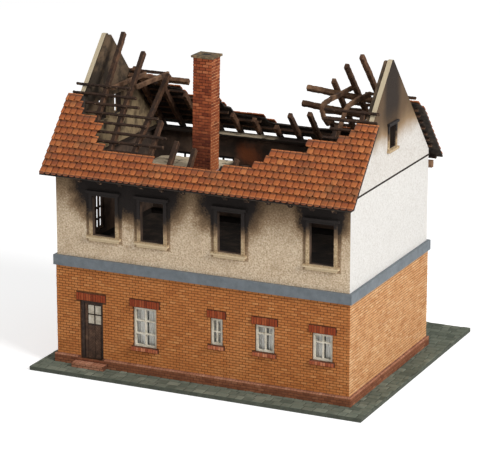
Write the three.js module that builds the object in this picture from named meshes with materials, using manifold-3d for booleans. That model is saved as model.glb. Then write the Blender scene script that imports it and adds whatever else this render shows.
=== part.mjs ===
// Burnt-out two-storey house for a miniature landscape, 1:87, in millimetres, +Z up.
// The origin is the centre of the base plate's underside. The front of the house faces -Y.
import * as THREE from "three";
import { mergeVertices } from "three/addons/utils/BufferGeometryUtils.js";
import Module from "manifold-3d";

// ---------------------------------------------------------------- driving dimensions
const HOUSE = { width: 130, depth: 84 };
const YARD = { left: 7.5, right: 9.5, front: 10.8, back: 29.2, thick: 1.6 }; // the plate round the house
const GLUE = 0.03; // seam between glued pieces
const FIT = 0.1; // clearance of a piece set into an opening

const PLINTH = { height: 3.9, proud: 1.0, chamfer: 0.5 };
const BRICK_WALL = { thick: 2.2, height: 41.8 };
const BAND = { height: 4.2, proud: 0.9, bearing: 1.2 }; // bearing: how far it reaches inwards
const FLOOR_THICK = 1.2;
const PLASTER_WALL = { thick: 2.0, height: 36.3, setback: 0.4 };
const DECK = { thick: 0.8, rim: 3.4, backOverhang: 1.2 };

// Places along a wall are shares of its half-length from the middle, so they spread with the house.
const DOOR_AT = -0.754;
const DOOR = { width: 10.4, bottom: 2.8, top: 27.8, frame: 1.5, deep: 1.4, recess: 0.5, panel: 0.4 };
const STEP = { width: 14.6, height: 2.0, proud: 3.4 };
const FRAME = { bar: 0.85, muntin: 0.55, deep: 0.9, recess: 0.55 };
const SHEET = { thick: 0.3, lap: 1 }; // glazing and curtain sheets: how far they reach past the windows
const LINTEL = { height: 2.9, lap: 1.5, proud: 0.45, deep: 0.9, gap: 0.35 };
const SILL = { height: 1.5, lap: 0.9, proud: 1.0, deep: 0.9 };
// Ground-floor windows: place, clear width, bottom, top, panes across, bars as distances from the top.
const GROUND_WINDOWS = [
  { at: -0.377, width: 10.3, bottom: 11.5, top: 28.2, columns: 2, bars: [5.6, 11.1] },
  { at: 0.117, width: 5.2, bottom: 17.0, top: 28.2, columns: 2, bars: [5.6] },
  { at: 0.4415, width: 8.2, bottom: 17.0, top: 28.2, columns: 2, bars: [3.6] },
  { at: 0.823, width: 8.5, bottom: 17.0, top: 28.2, columns: 2, bars: [3.6] },
];
// The window in the back wall; its place is seen from behind.
const BACK_GROUND_WINDOW = { at: 0.58, width: 8.4, bottom: 15, top: 28.2, columns: 2, bars: [3.6] };

const UPPER = { bottom: 10.0, top: 26.7, width: 10.5 }; // heights above the band
const TRIM = { width: 1.35, head: 2.1, proud: 0.6, sill: 1.6, sillStep: 1.05, cornice: 1.3, lap: 0.95 };
const UPPER_WINDOWS_AT = [-0.657, -0.323, 0.203, 0.811];
const BACK_UPPER_WINDOWS_AT = [-0.7215, -0.4385];
// The window in the left wall lights the stairs, so it stands lower. Bars are drops from its top.
const SIDE_WINDOW = { at: -0.19, width: 7, bottom: 2.2, top: 18.9, columns: 2, bars: [7.3, 12.1] };

const ROOF = { rise: 1.1, overhang: 7.2, verge: 3.4, eaveDrop: 0.8, tile: 1.5 }; // rise: per unit of run
const TILE_ROW = 3.05;
const EAVE_ROW = 0.8; // the eave row is this much longer than the others
const GABLE = { apexFlat: 0.7, skin: 2.0, lining: 1.6, drop: 3.1, liningDrop: 0.35 };
const LATH = { pitch: 4.15, start: 2.1, wide: 0.95, deep: 1.2 };
const BACK_LATH_START = 0.55;
const RAFTER = { start: 0.4, wide: 1.8, deep: 2.3, lap: 0.2 };
// Distances of the first and last rafter from the gables' outer faces.
const FRONT_INSET = { left: 13.05, right: 5.15 };
const BACK_INSET = { left: 6.25, right: 11.95 };
const BIRDSMOUTH = 0.3; // clearance of the rafters over the attic floor
const COLLAR = { drop: 22.1, wide: 1.3, deep: 2.0, clear: 0.35, bentClear: 1.2 }; // drop: below the ridge
const PURLIN = { wide: 2.1, deep: 2.1 };
const GABLE_WINDOW = { sill: 11.8, height: 9.0, width: 7.0 }; // sill: above the gable's foot
const LEFT_GABLE_WINDOWS = { width: 8.6, middle: 0.3, gap: 1.4 }; // a pair; gap: between their surrounds
const GABLE_TRIM = { width: 1.2, proud: 0.5, lap: 0.5, sill: 1.3, cornice: 1.1, corniceRise: 0.4 };
const CHIMNEY = { wide: 8.0, deep: 7.4, height: 46.6, lean: THREE.MathUtils.degToRad(1) };
const CAP = { thick: 0.9, lap: 0.8 };
const EAVES_BEAM = { wide: 2.2, deep: 3.0, end: 1.2 }; // end: how far it reaches past the house's side
// The broken edges below are drawn for a roof of this size and stretch with the real one.
const DRAWN = { roofHalfWidth: 68.4, wallHalfDepth: 41.6, slope: 73.14 };

// ---------------------------------------------------------------- levels and edges that follow
const halfWidth = HOUSE.width / 2;
const halfDepth = HOUSE.depth / 2;
const plateWidth = HOUSE.width + YARD.left + YARD.right;
const plateDepth = HOUSE.depth + YARD.front + YARD.back;
const bandBottom = BRICK_WALL.height;
const bandTop = bandBottom + BAND.height;
const wallTop = bandTop + PLASTER_WALL.height;
const deckTop = wallTop + DECK.thick;
const plasterHalfWidth = halfWidth - PLASTER_WALL.setback;
const plasterHalfDepth = halfDepth - PLASTER_WALL.setback;
const roofHalfWidth = halfWidth + ROOF.verge;
const pitch = Math.atan(ROOF.rise);
const eaveY = halfDepth + ROOF.overhang;
const eaveHeight = wallTop - ROOF.eaveDrop;
const ridgeHeight = eaveHeight + eaveY * ROOF.rise;
const slopeLength = eaveY / Math.cos(pitch);
const lathTop = -ROOF.tile - GLUE;
const rafterTop = lathTop - LATH.deep + RAFTER.lap;
const rafterBottom = rafterTop - RAFTER.deep;
const alongWall = (share) => share * halfWidth;
const acrossRoof = (x) => (x * roofHalfWidth) / DRAWN.roofHalfWidth;
const acrossFloor = (y) => (y * plasterHalfDepth) / DRAWN.wallHalfDepth;
const upSlope = (s) => (s * slopeLength) / DRAWN.slope;

// How far from the ridge line a plane this far below the tiles' face is, at height z.
function slopeY(below, z) {
  return (ridgeHeight - z) / ROOF.rise - below / Math.sin(pitch);
}

// ---------------------------------------------------------------- solids
const wasm = await Module();
wasm.setup();

function block(x0, x1, y0, y1, z0, z1) {
  const box = new THREE.BoxGeometry(x1 - x0, y1 - y0, z1 - z0);
  return box.translate((x0 + x1) / 2, (y0 + y1) / 2, (z0 + z1) / 2);
}

function toSolid(geometry) {
  const bare = geometry.clone();
  bare.deleteAttribute("normal");
  bare.deleteAttribute("uv");
  const merged = mergeVertices(bare, 1e-4);
  const mesh = new wasm.Mesh({
    numProp: 3,
    vertProperties: merged.getAttribute("position").array,
    triVerts: new Uint32Array(merged.index.array),
  });
  return new wasm.Manifold(mesh);
}

function toGeometry(solid) {
  const mesh = solid.getMesh();
  const geometry = new THREE.BufferGeometry();
  geometry.setAttribute("position", new THREE.BufferAttribute(mesh.vertProperties, 3));
  geometry.setIndex(new THREE.BufferAttribute(mesh.triVerts, 1));
  const flat = geometry.toNonIndexed();
  flat.computeVertexNormals();
  return flat;
}

function combine(joined, removed = []) {
  let solid = toSolid(joined[0]);
  for (const extra of joined.slice(1)) solid = solid.add(toSolid(extra));
  for (const hole of removed) solid = solid.subtract(toSolid(hole));
  return toGeometry(solid);
}

function outline(points) {
  return new THREE.Shape(points.map(([x, y]) => new THREE.Vector2(x, y)));
}

function rectangle(x0, x1, y0, y1) {
  return [[x0, y0], [x1, y0], [x1, y1], [x0, y1]];
}

function slab(points, holes, z0, z1) {
  const shape = outline(points);
  shape.holes = holes.map(outline);
  const geometry = new THREE.ExtrudeGeometry(shape, { depth: z1 - z0, bevelEnabled: false });
  return geometry.translate(0, 0, z0);
}

// A rectangular beam that follows a curve through the given points.
function bentBeam(points, wide, deep, steps) {
  const curve = new THREE.CatmullRomCurve3(points.map((p) => new THREE.Vector3(...p)));
  const section = outline(rectangle(-wide / 2, wide / 2, -deep / 2, deep / 2));
  return new THREE.ExtrudeGeometry(section, { steps, extrudePath: curve });
}

// ---------------------------------------------------------------- scene graph and materials
function material(color, roughness, metalness = 0) {
  return () => new THREE.MeshStandardMaterial({ color, roughness, metalness });
}
const paving = material(0x6f7566, 0.95);
const plinthBrick = material(0x9a5238, 0.85);
const brick = material(0xc07f47, 0.85);
const darkBrick = material(0x8a3325, 0.85);
const slate = material(0x5f6b74, 0.7);
const plaster = material(0xd9cfb8, 0.9);
const trimPlaster = material(0xc9b893, 0.85);
const frameWhite = material(0xe6dfcc, 0.6);
const doorBrown = material(0x4a352a, 0.7);
const paneClear = material(0xb9c4c8, 0.15);
const curtainPaper = material(0xefeadf, 0.9);
const tile = material(0xb8643c, 0.8);
const charred = material(0x4b3a30, 0.9);
const boards = material(0xa89a7c, 0.9);
const chimneyBrick = material(0xa2482c, 0.85);
const capStone = material(0x55524a, 0.9);

const object = new THREE.Group();
const house = new THREE.Group();
house.position.set((YARD.left - YARD.right) / 2, (YARD.front - YARD.back) / 2, YARD.thick);
const roof = new THREE.Group();
house.add(roof);
object.add(house);

function add(parent, name, geometry, makeMaterial) {
  const mesh = new THREE.Mesh(geometry, makeMaterial());
  mesh.name = name;
  parent.add(mesh);
  return mesh;
}

// ---------------------------------------------------------------- walls
// A wall in the XZ plane, its outer face at y = 0 and its body towards +Y, with rectangular openings.
function wallPanel(length, thick, z0, z1, openings) {
  const holes = openings.map(
    (o) => block(o.x - o.width / 2, o.x + o.width / 2, -1, thick + 1, o.bottom, o.top),
  );
  return combine([block(-length / 2, length / 2, 0, thick, z0, z1)], holes);
}

// Places a piece made for the front wall on one of the four sides.
function onSide(mesh, side, faceX, faceY) {
  const places = {
    front: [0, -faceY, 0],
    back: [0, faceY, Math.PI],
    left: [-faceX, 0, -Math.PI / 2],
    right: [faceX, 0, Math.PI / 2],
  };
  const [x, y, turn] = places[side];
  mesh.position.set(x, y, 0);
  mesh.rotation.z = turn;
  return mesh;
}

function fourWalls(prefix, faceX, faceY, thick, z0, z1, openings, makeMaterial) {
  const sideLength = 2 * (faceY - thick - GLUE);
  for (const side of ["front", "back", "left", "right"]) {
    const length = side === "front" || side === "back" ? 2 * faceX : sideLength;
    const panel = wallPanel(length, thick, z0, z1, openings[side] ?? []);
    onSide(add(house, `${prefix}_${side}`, panel, makeMaterial), side, faceX, faceY);
  }
}

function upperOpening(x) {
  return { x, width: UPPER.width, bottom: bandTop + UPPER.bottom, top: bandTop + UPPER.top };
}
const door = { ...DOOR, x: alongWall(DOOR_AT) };
const groundWindows = GROUND_WINDOWS.map((w) => ({ ...w, x: alongWall(w.at) }));
const backGroundWindow = { ...BACK_GROUND_WINDOW, x: alongWall(BACK_GROUND_WINDOW.at) };
const frontUpper = UPPER_WINDOWS_AT.map((at) => upperOpening(alongWall(at)));
// The back wall is drawn from behind, so its openings run the other way.
const backUpper = BACK_UPPER_WINDOWS_AT.map((at) => upperOpening(-alongWall(at)));
const sideWindow = {
  ...SIDE_WINDOW,
  x: -SIDE_WINDOW.at * halfDepth,
  bottom: bandTop + SIDE_WINDOW.bottom,
  top: bandTop + SIDE_WINDOW.top,
};

fourWalls("brick_wall", halfWidth, halfDepth, BRICK_WALL.thick, 0, BRICK_WALL.height - GLUE, {
  front: [door, ...groundWindows],
  back: [backGroundWindow],
}, brick);
fourWalls("plaster_wall", plasterHalfWidth, plasterHalfDepth, PLASTER_WALL.thick, bandTop + GLUE, wallTop, {
  front: frontUpper,
  back: backUpper,
  left: [sideWindow],
}, plaster);

// ---------------------------------------------------------------- base, plinth, band and floor
add(object, "base_plate", block(
  -plateWidth / 2, plateWidth / 2, -plateDepth / 2, plateDepth / 2, 0, YARD.thick - GLUE,
), paving);

function ring(outX, outY, inX, inY, z0, z1) {
  return slab(rectangle(-outX, outX, -outY, outY), [rectangle(-inX, inX, -inY, inY)], z0, z1);
}

// Four-sided frustum used to chamfer the plinth's top edge.
function frustum(halfX, halfY, top, z0, z1) {
  const geometry = block(-halfX, halfX, -halfY, halfY, z0, z1);
  const position = geometry.getAttribute("position");
  for (let i = 0; i < position.count; i++) {
    if (position.getZ(i) < (z0 + z1) / 2) continue;
    position.setX(i, position.getX(i) - Math.sign(position.getX(i)) * top);
    position.setY(i, position.getY(i) - Math.sign(position.getY(i)) * top);
  }
  return geometry;
}

function plinthRing() {
  const outX = halfWidth + PLINTH.proud;
  const outY = halfDepth + PLINTH.proud;
  const shoulder = PLINTH.height - PLINTH.chamfer;
  const inX = halfWidth + GLUE;
  const inY = halfDepth + GLUE;
  const doorLeft = door.x - door.width / 2;
  return combine([
    block(-outX, outX, -outY, outY, 0, shoulder),
    frustum(outX, outY, PLINTH.chamfer, shoulder, PLINTH.height),
  ], [
    block(-inX, inX, -inY, inY, -1, PLINTH.height + 1),
    block(doorLeft, doorLeft + door.width, -outY - 1, -inY + 1, door.bottom, PLINTH.height + 1),
  ]);
}
add(house, "plinth", plinthRing(), plinthBrick);

const stepBack = -halfDepth - PLINTH.proud - GLUE;
add(house, "door_step", block(
  door.x - STEP.width / 2, door.x + STEP.width / 2, stepBack - STEP.proud, stepBack, 0, STEP.height,
), plinthBrick);

add(house, "string_course", ring(
  halfWidth + BAND.proud, halfDepth + BAND.proud, halfWidth - BAND.bearing, halfDepth - BAND.bearing,
  bandBottom, bandTop,
), slate);

const floorHalfWidth = halfWidth - BAND.bearing - FIT;
const floorHalfDepth = halfDepth - BAND.bearing - FIT;
add(house, "first_floor", block(
  -floorHalfWidth, floorHalfWidth, -floorHalfDepth, floorHalfDepth, bandBottom, bandBottom + FLOOR_THICK,
), boards);

// ---------------------------------------------------------------- door
// The frame is wide on the left, where a fixed board stands beside the leaf, and half as wide elsewhere.
const doorwayLeft = door.x - door.width / 2 + FIT;
const doorwayRight = door.x + door.width / 2 - FIT;
const frameBack = door.recess + door.deep;
const leafLeft = doorwayLeft + door.frame + FIT;
const leafRight = doorwayRight - door.frame / 2 - FIT;
const leafTop = door.top - FIT - door.frame / 2 - FIT;

function doorFrame() {
  return combine([
    block(doorwayLeft, doorwayRight, door.recess, frameBack, door.bottom + FIT, door.top - FIT),
  ], [
    block(leafLeft - FIT, leafRight + FIT, door.recess - 1, frameBack + 1, door.bottom - 1, leafTop + FIT),
  ]);
}
onSide(add(house, "door_frame", doorFrame(), doorBrown), "front", halfWidth, halfDepth);

function doorLeaf() {
  const face = door.recess + door.panel;
  const paneWidth = (leafRight - leafLeft) / 2 - FRAME.bar;
  const step = paneWidth + FRAME.bar / 2;
  const panes = [];
  for (const column of [0, 1])
    for (const row of [0, 1]) {
      const left = leafLeft + FRAME.bar * 0.75 + column * step;
      const top = leafTop - FRAME.bar - row * step;
      panes.push(block(left, left + paneWidth, face - 1, face + door.panel, top - paneWidth, top));
    }
  return combine([block(leafLeft, leafRight, face, frameBack, door.bottom + FIT, leafTop)], panes);
}
onSide(add(house, "door_leaf", doorLeaf(), doorBrown), "front", halfWidth, halfDepth);

// ---------------------------------------------------------------- ground-floor windows
function windowFrame(w) {
  const x0 = w.x - w.width / 2 + FIT;
  const x1 = w.x + w.width / 2 - FIT;
  const y0 = FRAME.recess;
  const y1 = FRAME.recess + FRAME.deep;
  const parts = [
    block(x0, x1, y0, y1, w.bottom + FIT, w.bottom + FIT + FRAME.bar),
    block(x0, x1, y0, y1, w.top - FIT - FRAME.bar, w.top - FIT),
    block(x0, x0 + FRAME.bar, y0, y1, w.bottom + FIT, w.top - FIT),
    block(x1 - FRAME.bar, x1, y0, y1, w.bottom + FIT, w.top - FIT),
  ];
  for (let column = 1; column < w.columns; column++) {
    const x = x0 + ((x1 - x0) * column) / w.columns;
    parts.push(block(x - FRAME.muntin / 2, x + FRAME.muntin / 2, y0, y1, w.bottom + FIT, w.top - FIT));
  }
  for (const bar of w.bars)
    parts.push(block(x0, x1, y0, y1, w.top - bar - FRAME.muntin / 2, w.top - bar + FRAME.muntin / 2));
  return combine(parts);
}

function lintel(x, width, top) {
  const z0 = top + LINTEL.gap;
  return block(
    x - width / 2 - LINTEL.lap, x + width / 2 + LINTEL.lap,
    -LINTEL.proud - GLUE, -GLUE, z0, z0 + LINTEL.height,
  );
}

function sill(w) {
  return block(
    w.x - w.width / 2 - SILL.lap, w.x + w.width / 2 + SILL.lap, -SILL.proud - GLUE, -GLUE,
    w.bottom - SILL.height, w.bottom - FIT,
  );
}

const onFront = (name, geometry, makeMaterial) => {
  onSide(add(house, name, geometry, makeMaterial), "front", halfWidth, halfDepth);
};
onFront("door_lintel", lintel(door.x, door.width, door.top), darkBrick);
groundWindows.forEach((w, i) => {
  onFront(`window_frame_${i + 1}`, windowFrame(w), frameWhite);
  onFront(`window_lintel_${i + 1}`, lintel(w.x, w.width, w.top), darkBrick);
  onFront(`window_sill_${i + 1}`, sill(w), darkBrick);
});
const backFrame = add(house, "back_window_frame", windowFrame(backGroundWindow), frameWhite);
onSide(backFrame, "back", halfWidth, halfDepth);

// Clear sheet and curtain paper glued behind the front windows.
function backingSheet(y0) {
  const first = groundWindows[0];
  const last = groundWindows[groundWindows.length - 1];
  return block(
    first.x - first.width / 2 - SHEET.lap, last.x + last.width / 2 + SHEET.lap, y0, y0 + SHEET.thick,
    Math.min(...groundWindows.map((w) => w.bottom)) - SHEET.lap,
    Math.max(...groundWindows.map((w) => w.top)) + SHEET.lap,
  );
}
const sheetY = BRICK_WALL.thick + GLUE;
onFront("window_glazing", backingSheet(sheetY), paneClear);
onFront("curtain_strip", backingSheet(sheetY + SHEET.thick + GLUE), curtainPaper);

// ---------------------------------------------------------------- upper windows
// Moulded surround glued on the wall face, with a stepped sill and a cornice.
function surround(w) {
  const x0 = w.x - w.width / 2;
  const x1 = w.x + w.width / 2;
  const outX0 = x0 - TRIM.width;
  const outX1 = x1 + TRIM.width;
  const outTop = w.top + TRIM.head;
  const sillFoot = w.bottom - TRIM.sillStep;
  const strip = (proud, lap, z0, z1) => block(outX0 - lap, outX1 + lap, -proud - GLUE, -GLUE, z0, z1);
  return combine([
    strip(TRIM.proud, 0, sillFoot, outTop),
    strip(TRIM.sill, TRIM.lap, sillFoot, w.bottom),
    strip(TRIM.sill * 0.65, 0, sillFoot - TRIM.sillStep, sillFoot),
    strip(TRIM.cornice, TRIM.lap, outTop - TRIM.sillStep, outTop),
  ], [block(x0, x1, -TRIM.sill - 1, 1, w.bottom, w.top)]);
}

frontUpper.forEach((w, i) => {
  const trim = add(house, `upper_surround_${i + 1}`, surround(w), trimPlaster);
  onSide(trim, "front", plasterHalfWidth, plasterHalfDepth);
});

// The casement left in the side wall.
const sideFrame = add(house, "side_casement", windowFrame(sideWindow), charred);
onSide(sideFrame, "left", plasterHalfWidth, plasterHalfDepth);

// ---------------------------------------------------------------- roof unit: attic floor
// A rim on all four walls and one surviving stretch of boards behind the front eave.
const REMNANT = [
  [-38, -36.2], [-37, -19], [-34, -18], [-33.5, -8], [-27, -5.2], [-24.5, -6.4], [-20, -4.8], [-13, -5.4],
  [-9, -3.9], [-3, -3.6], [0.5, -5.5], [2.5, -14], [6, -20], [7.5, -36.2],
];
function atticFloor() {
  const inX = plasterHalfWidth - PLASTER_WALL.thick - DECK.rim;
  const inY = plasterHalfDepth - PLASTER_WALL.thick - DECK.rim;
  const broken = REMNANT.map(([x, y]) => [acrossRoof(x), Math.max(acrossFloor(y), -inY)]);
  broken[0][1] = -inY;
  broken[broken.length - 1][1] = -inY;
  const hole = [[-inX, -inY], ...broken, [inX, -inY], [inX, inY], [-inX, inY]];
  const backEdge = plasterHalfDepth + DECK.backOverhang;
  const edge = rectangle(-plasterHalfWidth, plasterHalfWidth, -plasterHalfDepth, backEdge);
  return slab(edge, [hole], wallTop + GLUE, deckTop);
}
add(roof, "attic_floor", atticFloor(), boards);

// ---------------------------------------------------------------- roof unit: gables
const gableBase = deckTop + GLUE;
const gableWindowBottom = gableBase + GABLE_WINDOW.sill;
const gableWindowTop = gableWindowBottom + GABLE_WINDOW.height;

// The gable's outline across the house, lowered by drop at right angles to its slopes.
function gableOutline(drop) {
  const slopeZ = (y) => ridgeHeight - y * ROOF.rise - (GABLE.drop + drop) / Math.cos(pitch);
  const edge = plasterHalfDepth - drop;
  return [
    [-edge, gableBase], [edge, gableBase], [edge, slopeZ(edge)], [GABLE.apexFlat, slopeZ(GABLE.apexFlat)],
    [-GABLE.apexFlat, slopeZ(GABLE.apexFlat)], [-edge, slopeZ(edge)],
  ];
}

// A sheet in the YZ plane from x0 to x1.
function crossSheet(points, x0, x1) {
  const sheet = slab(points, [], 0, x1 - x0);
  sheet.rotateX(Math.PI / 2).rotateZ(Math.PI / 2); // (y, z) outline, extruded along +X
  return sheet.translate(x0, 0, 0);
}

function windowCut(width, y, lap, x0, x1) {
  const half = width / 2 + lap;
  return block(x0 - 1, x1 + 1, y - half, y + half, gableWindowBottom - lap, gableWindowTop + lap);
}
const skinOut = plasterHalfWidth;
const skinIn = skinOut - GABLE.skin;
const liningOut = skinIn - GLUE;
const liningIn = liningOut - GABLE.lining;

// Both sheets of a gable; side is 1 on the right and -1 on the left.
function gable(name, side, width, middles) {
  const sheet = (drop, lap, near, far) => {
    const x0 = Math.min(side * near, side * far);
    const x1 = Math.max(side * near, side * far);
    const cuts = middles.map((y) => windowCut(width, y, lap, x0, x1));
    return combine([crossSheet(gableOutline(drop), x0, x1)], cuts);
  };
  add(roof, `gable_${name}`, sheet(0, 0, skinIn, skinOut), plaster);
  add(roof, `gable_lining_${name}`, sheet(GABLE.liningDrop, FIT, liningIn, liningOut), charred);
}
const surroundSide = GABLE_TRIM.width + GABLE_TRIM.lap;
const pairHalf = (LEFT_GABLE_WINDOWS.width + LEFT_GABLE_WINDOWS.gap) / 2 + surroundSide;
const pairFront = LEFT_GABLE_WINDOWS.middle - pairHalf;
const pairBack = LEFT_GABLE_WINDOWS.middle + pairHalf;
gable("right", 1, GABLE_WINDOW.width, [0]);
gable("left", -1, LEFT_GABLE_WINDOWS.width, [pairFront, pairBack]);

// Surround on the outer face of a gable, with a sill and a cornice.
function gableSurround(side, width, y) {
  const face = skinOut + GLUE;
  const y0 = y - width / 2 - GABLE_TRIM.width;
  const y1 = y + width / 2 + GABLE_TRIM.width;
  const foot = gableWindowBottom - GABLE_TRIM.width;
  const head = gableWindowTop + GABLE_TRIM.width;
  const strip = (proud, lap, z0, z1) => {
    const ends = [side * face, side * (face + proud)];
    return block(Math.min(...ends), Math.max(...ends), y0 - lap, y1 + lap, z0, z1);
  };
  const opening = block(-2, 2, y - width / 2, y + width / 2, gableWindowBottom, gableWindowTop);
  return combine([
    strip(GABLE_TRIM.proud, 0, foot, head),
    strip(GABLE_TRIM.sill, GABLE_TRIM.lap, foot, gableWindowBottom - 2 * FIT),
    strip(GABLE_TRIM.cornice, GABLE_TRIM.lap, head - GABLE_TRIM.lap, head + GABLE_TRIM.corniceRise),
  ], [opening.translate(side * face, 0, 0)]);
}
add(roof, "gable_surround_right", gableSurround(1, GABLE_WINDOW.width, 0), trimPlaster);
const pairSurround = (y) => gableSurround(-1, LEFT_GABLE_WINDOWS.width, y);
add(roof, "gable_surround_left_front", pairSurround(pairFront), trimPlaster);
add(roof, "gable_surround_left_back", pairSurround(pairBack), trimPlaster);

// ---------------------------------------------------------------- roof unit: slopes
// Each slope has its own frame: x along the eave, y up the slope and z out of the tiles' top face.
function slopeFrame(turn) {
  const facing = new THREE.Group();
  facing.rotation.z = turn;
  roof.add(facing);
  const slope = new THREE.Group();
  slope.position.set(0, -eaveY, eaveHeight);
  slope.rotation.x = pitch;
  facing.add(slope);
  return slope;
}
const frontSlope = slopeFrame(0);
const backSlope = slopeFrame(Math.PI); // its x runs against the house's x

const row = (count) => EAVE_ROW + TILE_ROW * count;

// The surviving tiles of the front slope: broken top edge from left to right, as x and height.
const FRONT_TILE_EDGE = [
  [-68.4, row(12)], [-60.6, row(12)], [-58, row(9)], [-52.6, row(9)], [-51.4, row(8)], [-48.2, row(8)],
  [-49.8, row(7)], [-48.6, row(5)], [-44, row(5)], [-43.2, row(4)], [-21.6, row(4)], [-20.6, row(3)],
  [8, row(3)], [8.6, row(4)], [23.2, row(4)], [23.2, row(5)], [26.8, row(5)], [26.8, row(7)], [42, row(7)],
  [42.3, row(9)], [54.2, row(9)], [54.8, row(10)], [58.3, row(10)], [58.6, row(12)], [68.4, row(12)],
];
function frontTiles() {
  const edge = FRONT_TILE_EDGE.map(([x, s]) => [acrossRoof(x), s]).reverse();
  const points = [...edge, [-roofHalfWidth, 0], [roofHalfWidth - 1, 0], [roofHalfWidth, 1]];
  return slab(points, [], -ROOF.tile, 0);
}
add(frontSlope, "tiles_front", frontTiles(), tile);

// The back slope, with a lower broken edge and its eave row lost over the middle of the wall.
const BACK_TILE_EDGE = [
  [-68.4, 40], [-57, 39.8], [-53, 34.5], [-46.6, 30.8], [-42.4, 30.4], [-41.4, 25.6], [-39, 24.8],
  [-26.6, 25.4], [-25, 20.6], [-22.6, 19.8], [-22, 15.9], [-8, 14.8], [-7, 12.2], [-4, 11.5], [14, 11],
  [30, 12.2], [48, 12.6], [49, 17], [55, 18], [56.5, 29], [60.5, 31], [61.5, 37.2], [65.6, 37.2],
  [67.6, 35.4],
  [68.4, 33],
];
const BACK_TILE_EAVE = [[68.4, 0], [11, 0], [10, 4.2], [-60.5, 4.2], [-61.5, 0], [-68.4, 0]];
function backTiles() {
  const broken = BACK_TILE_EDGE.map(([x, s]) => [-acrossRoof(x), upSlope(s)]);
  const eave = BACK_TILE_EAVE.map(([x, s]) => [-acrossRoof(x), s]);
  return slab([...broken, ...eave], [], -ROOF.tile, 0);
}
add(backSlope, "tiles_back", backTiles(), tile);

// Rafters from left to right: the place of each broken end, and its sideways lean over its length. A place
// is a height above the eave, or below zero a distance down from the ridge.
const FRONT_RAFTERS = [
  [-2.94, -3.4], [-11.24, -0.6], [-20.14, 4.6], [31.1, -0.8], [22.7, 0], [20.4, -0.8], [9, 0], [17.9, 0],
  [12, 0], [20, 0], [22.6, 0], [37.5, 0], [45, 0],
];
const BACK_RAFTERS = [
  [46, 0], [41, 0.6], [30, 0], [24.4, 0], [18.6, 0], [16.4, 0], [12.6, 0], [22.7, 0], [25.3, 0.5], [21.5, 0],
  [-21.94, 0], [-10.74, -0.6], [-3.34, -1.2],
];
const slopePlace = (place) => (place > 0 ? place : slopeLength + place);

// The rafters stand at even distances between the two insets.
function rafterX(rafters, inset, index) {
  const first = -plasterHalfWidth + inset.left;
  const last = plasterHalfWidth - inset.right;
  return first + ((last - first) * index) / (rafters.length - 1);
}
const frontRafterX = (index) => rafterX(FRONT_RAFTERS, FRONT_INSET, index);
const backRafterX = (index) => rafterX(BACK_RAFTERS, BACK_INSET, index);

// One rafter from the eave to its broken end.
function rafter(x, [end, lean]) {
  const length = slopePlace(end) - RAFTER.start;
  const beam = block(-RAFTER.wide / 2, RAFTER.wide / 2, 0, length, rafterBottom, rafterTop);
  return beam.rotateZ(-Math.atan(lean / length)).translate(x, RAFTER.start, 0);
}

// One lath over the rafters. Its row counts up the slope from the eave.
function lath([rowNumber, x0, x1], start) {
  const middle = start + LATH.pitch * rowNumber;
  return block(x0, x1, middle - LATH.wide / 2, middle + LATH.wide / 2, lathTop - LATH.deep, lathTop);
}

// The space of the attic floor, seen in a slope's own frame, that the rafters are notched over.
function floorInSlope() {
  const reach = plasterHalfDepth + DECK.backOverhang + BIRDSMOUTH;
  const floor = wallTop - BIRDSMOUTH - RAFTER.deep * 4;
  const space = block(-roofHalfWidth, roofHalfWidth, -reach, reach, floor, deckTop + BIRDSMOUTH);
  return space.translate(0, eaveY, -eaveHeight).rotateX(-pitch);
}

// Laths as row, left end and right end. Those that run through are in two lengths, which meet beside
// a rafter.
const FRONT_LATHS = {
  through: [0, 1, 2],
  left: [
    [3, -67.3, -22.9], [4, -67.3, -18.9], [5, -67.3, -19], [6, -67.3, -29.3], [7, -67.3, -25.2],
    [8, -67.3, -35.3], [9, -67.3, -37.9], [10, -67.1, -41.9],
  ],
  right: [
    [3, 16.4, 67.3], [4, 27, 67.3], [5, 29, 67.3], [6, 43, 67.3], [7, 46, 67.3], [8, 48, 67.3], [9, 44, 67],
    [10, 43, 66.7],
  ],
};
const BACK_LATHS = {
  through: [0, 2],
  left: [
    [3, -66, -10], [4, -66, -24], [5, -66, -27], [6, -66, -37], [7, -66, -40.5], [8, -66, -47],
    [9, -66, -53],
    [10, -64, -44],
  ],
  right: [
    [3, 30, 66], [4, 20.5, 66], [5, 20, 66], [6, 20.3, 66], [7, 33, 66], [8, 36, 66], [9, 32, 64],
    [10, 45, 67.2],
  ],
};

// Each slope's timber: joint is the last rafter of its left half, and facing is -1 where the slope's own x
// runs against the house's.
const FRONT_TIMBER = {
  rafters: FRONT_RAFTERS, atX: frontRafterX, laths: FRONT_LATHS, lathEnd: 67.3, lathStart: LATH.start,
  joint: 3, facing: 1,
};
const BACK_TIMBER = {
  rafters: BACK_RAFTERS, atX: backRafterX, laths: BACK_LATHS, lathEnd: 66, lathStart: BACK_LATH_START,
  joint: 8, facing: -1,
};

// One half of a slope's timber. Its places along the house are in house x.
function roofFrame(isLeft, { rafters, atX, laths, lathEnd, lathStart, joint, facing }) {
  const seam = atX(joint) + RAFTER.wide / 2 + Math.abs(rafters[joint][1]);
  const beams = [];
  rafters.forEach(([end, lean], i) => {
    if (i <= joint === isLeft) beams.push(rafter(facing * atX(i), [end, facing * lean]));
  });
  const edge = acrossRoof(lathEnd);
  const through = laths.through.map((row) => (isLeft ? [row, -edge, seam] : [row, seam + GLUE, edge]));
  const broken = (isLeft ? laths.left : laths.right).map(
    ([row, x0, x1]) => [row, acrossRoof(x0), acrossRoof(x1)],
  );
  for (const [row, x0, x1] of [...through, ...broken]) {
    const ends = facing > 0 ? [x0, x1] : [-x1, -x0];
    beams.push(lath([row, ...ends], lathStart));
  }
  return combine(beams, [floorInSlope()]);
}
add(frontSlope, "roof_frame_front_left", roofFrame(true, FRONT_TIMBER), charred);
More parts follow.
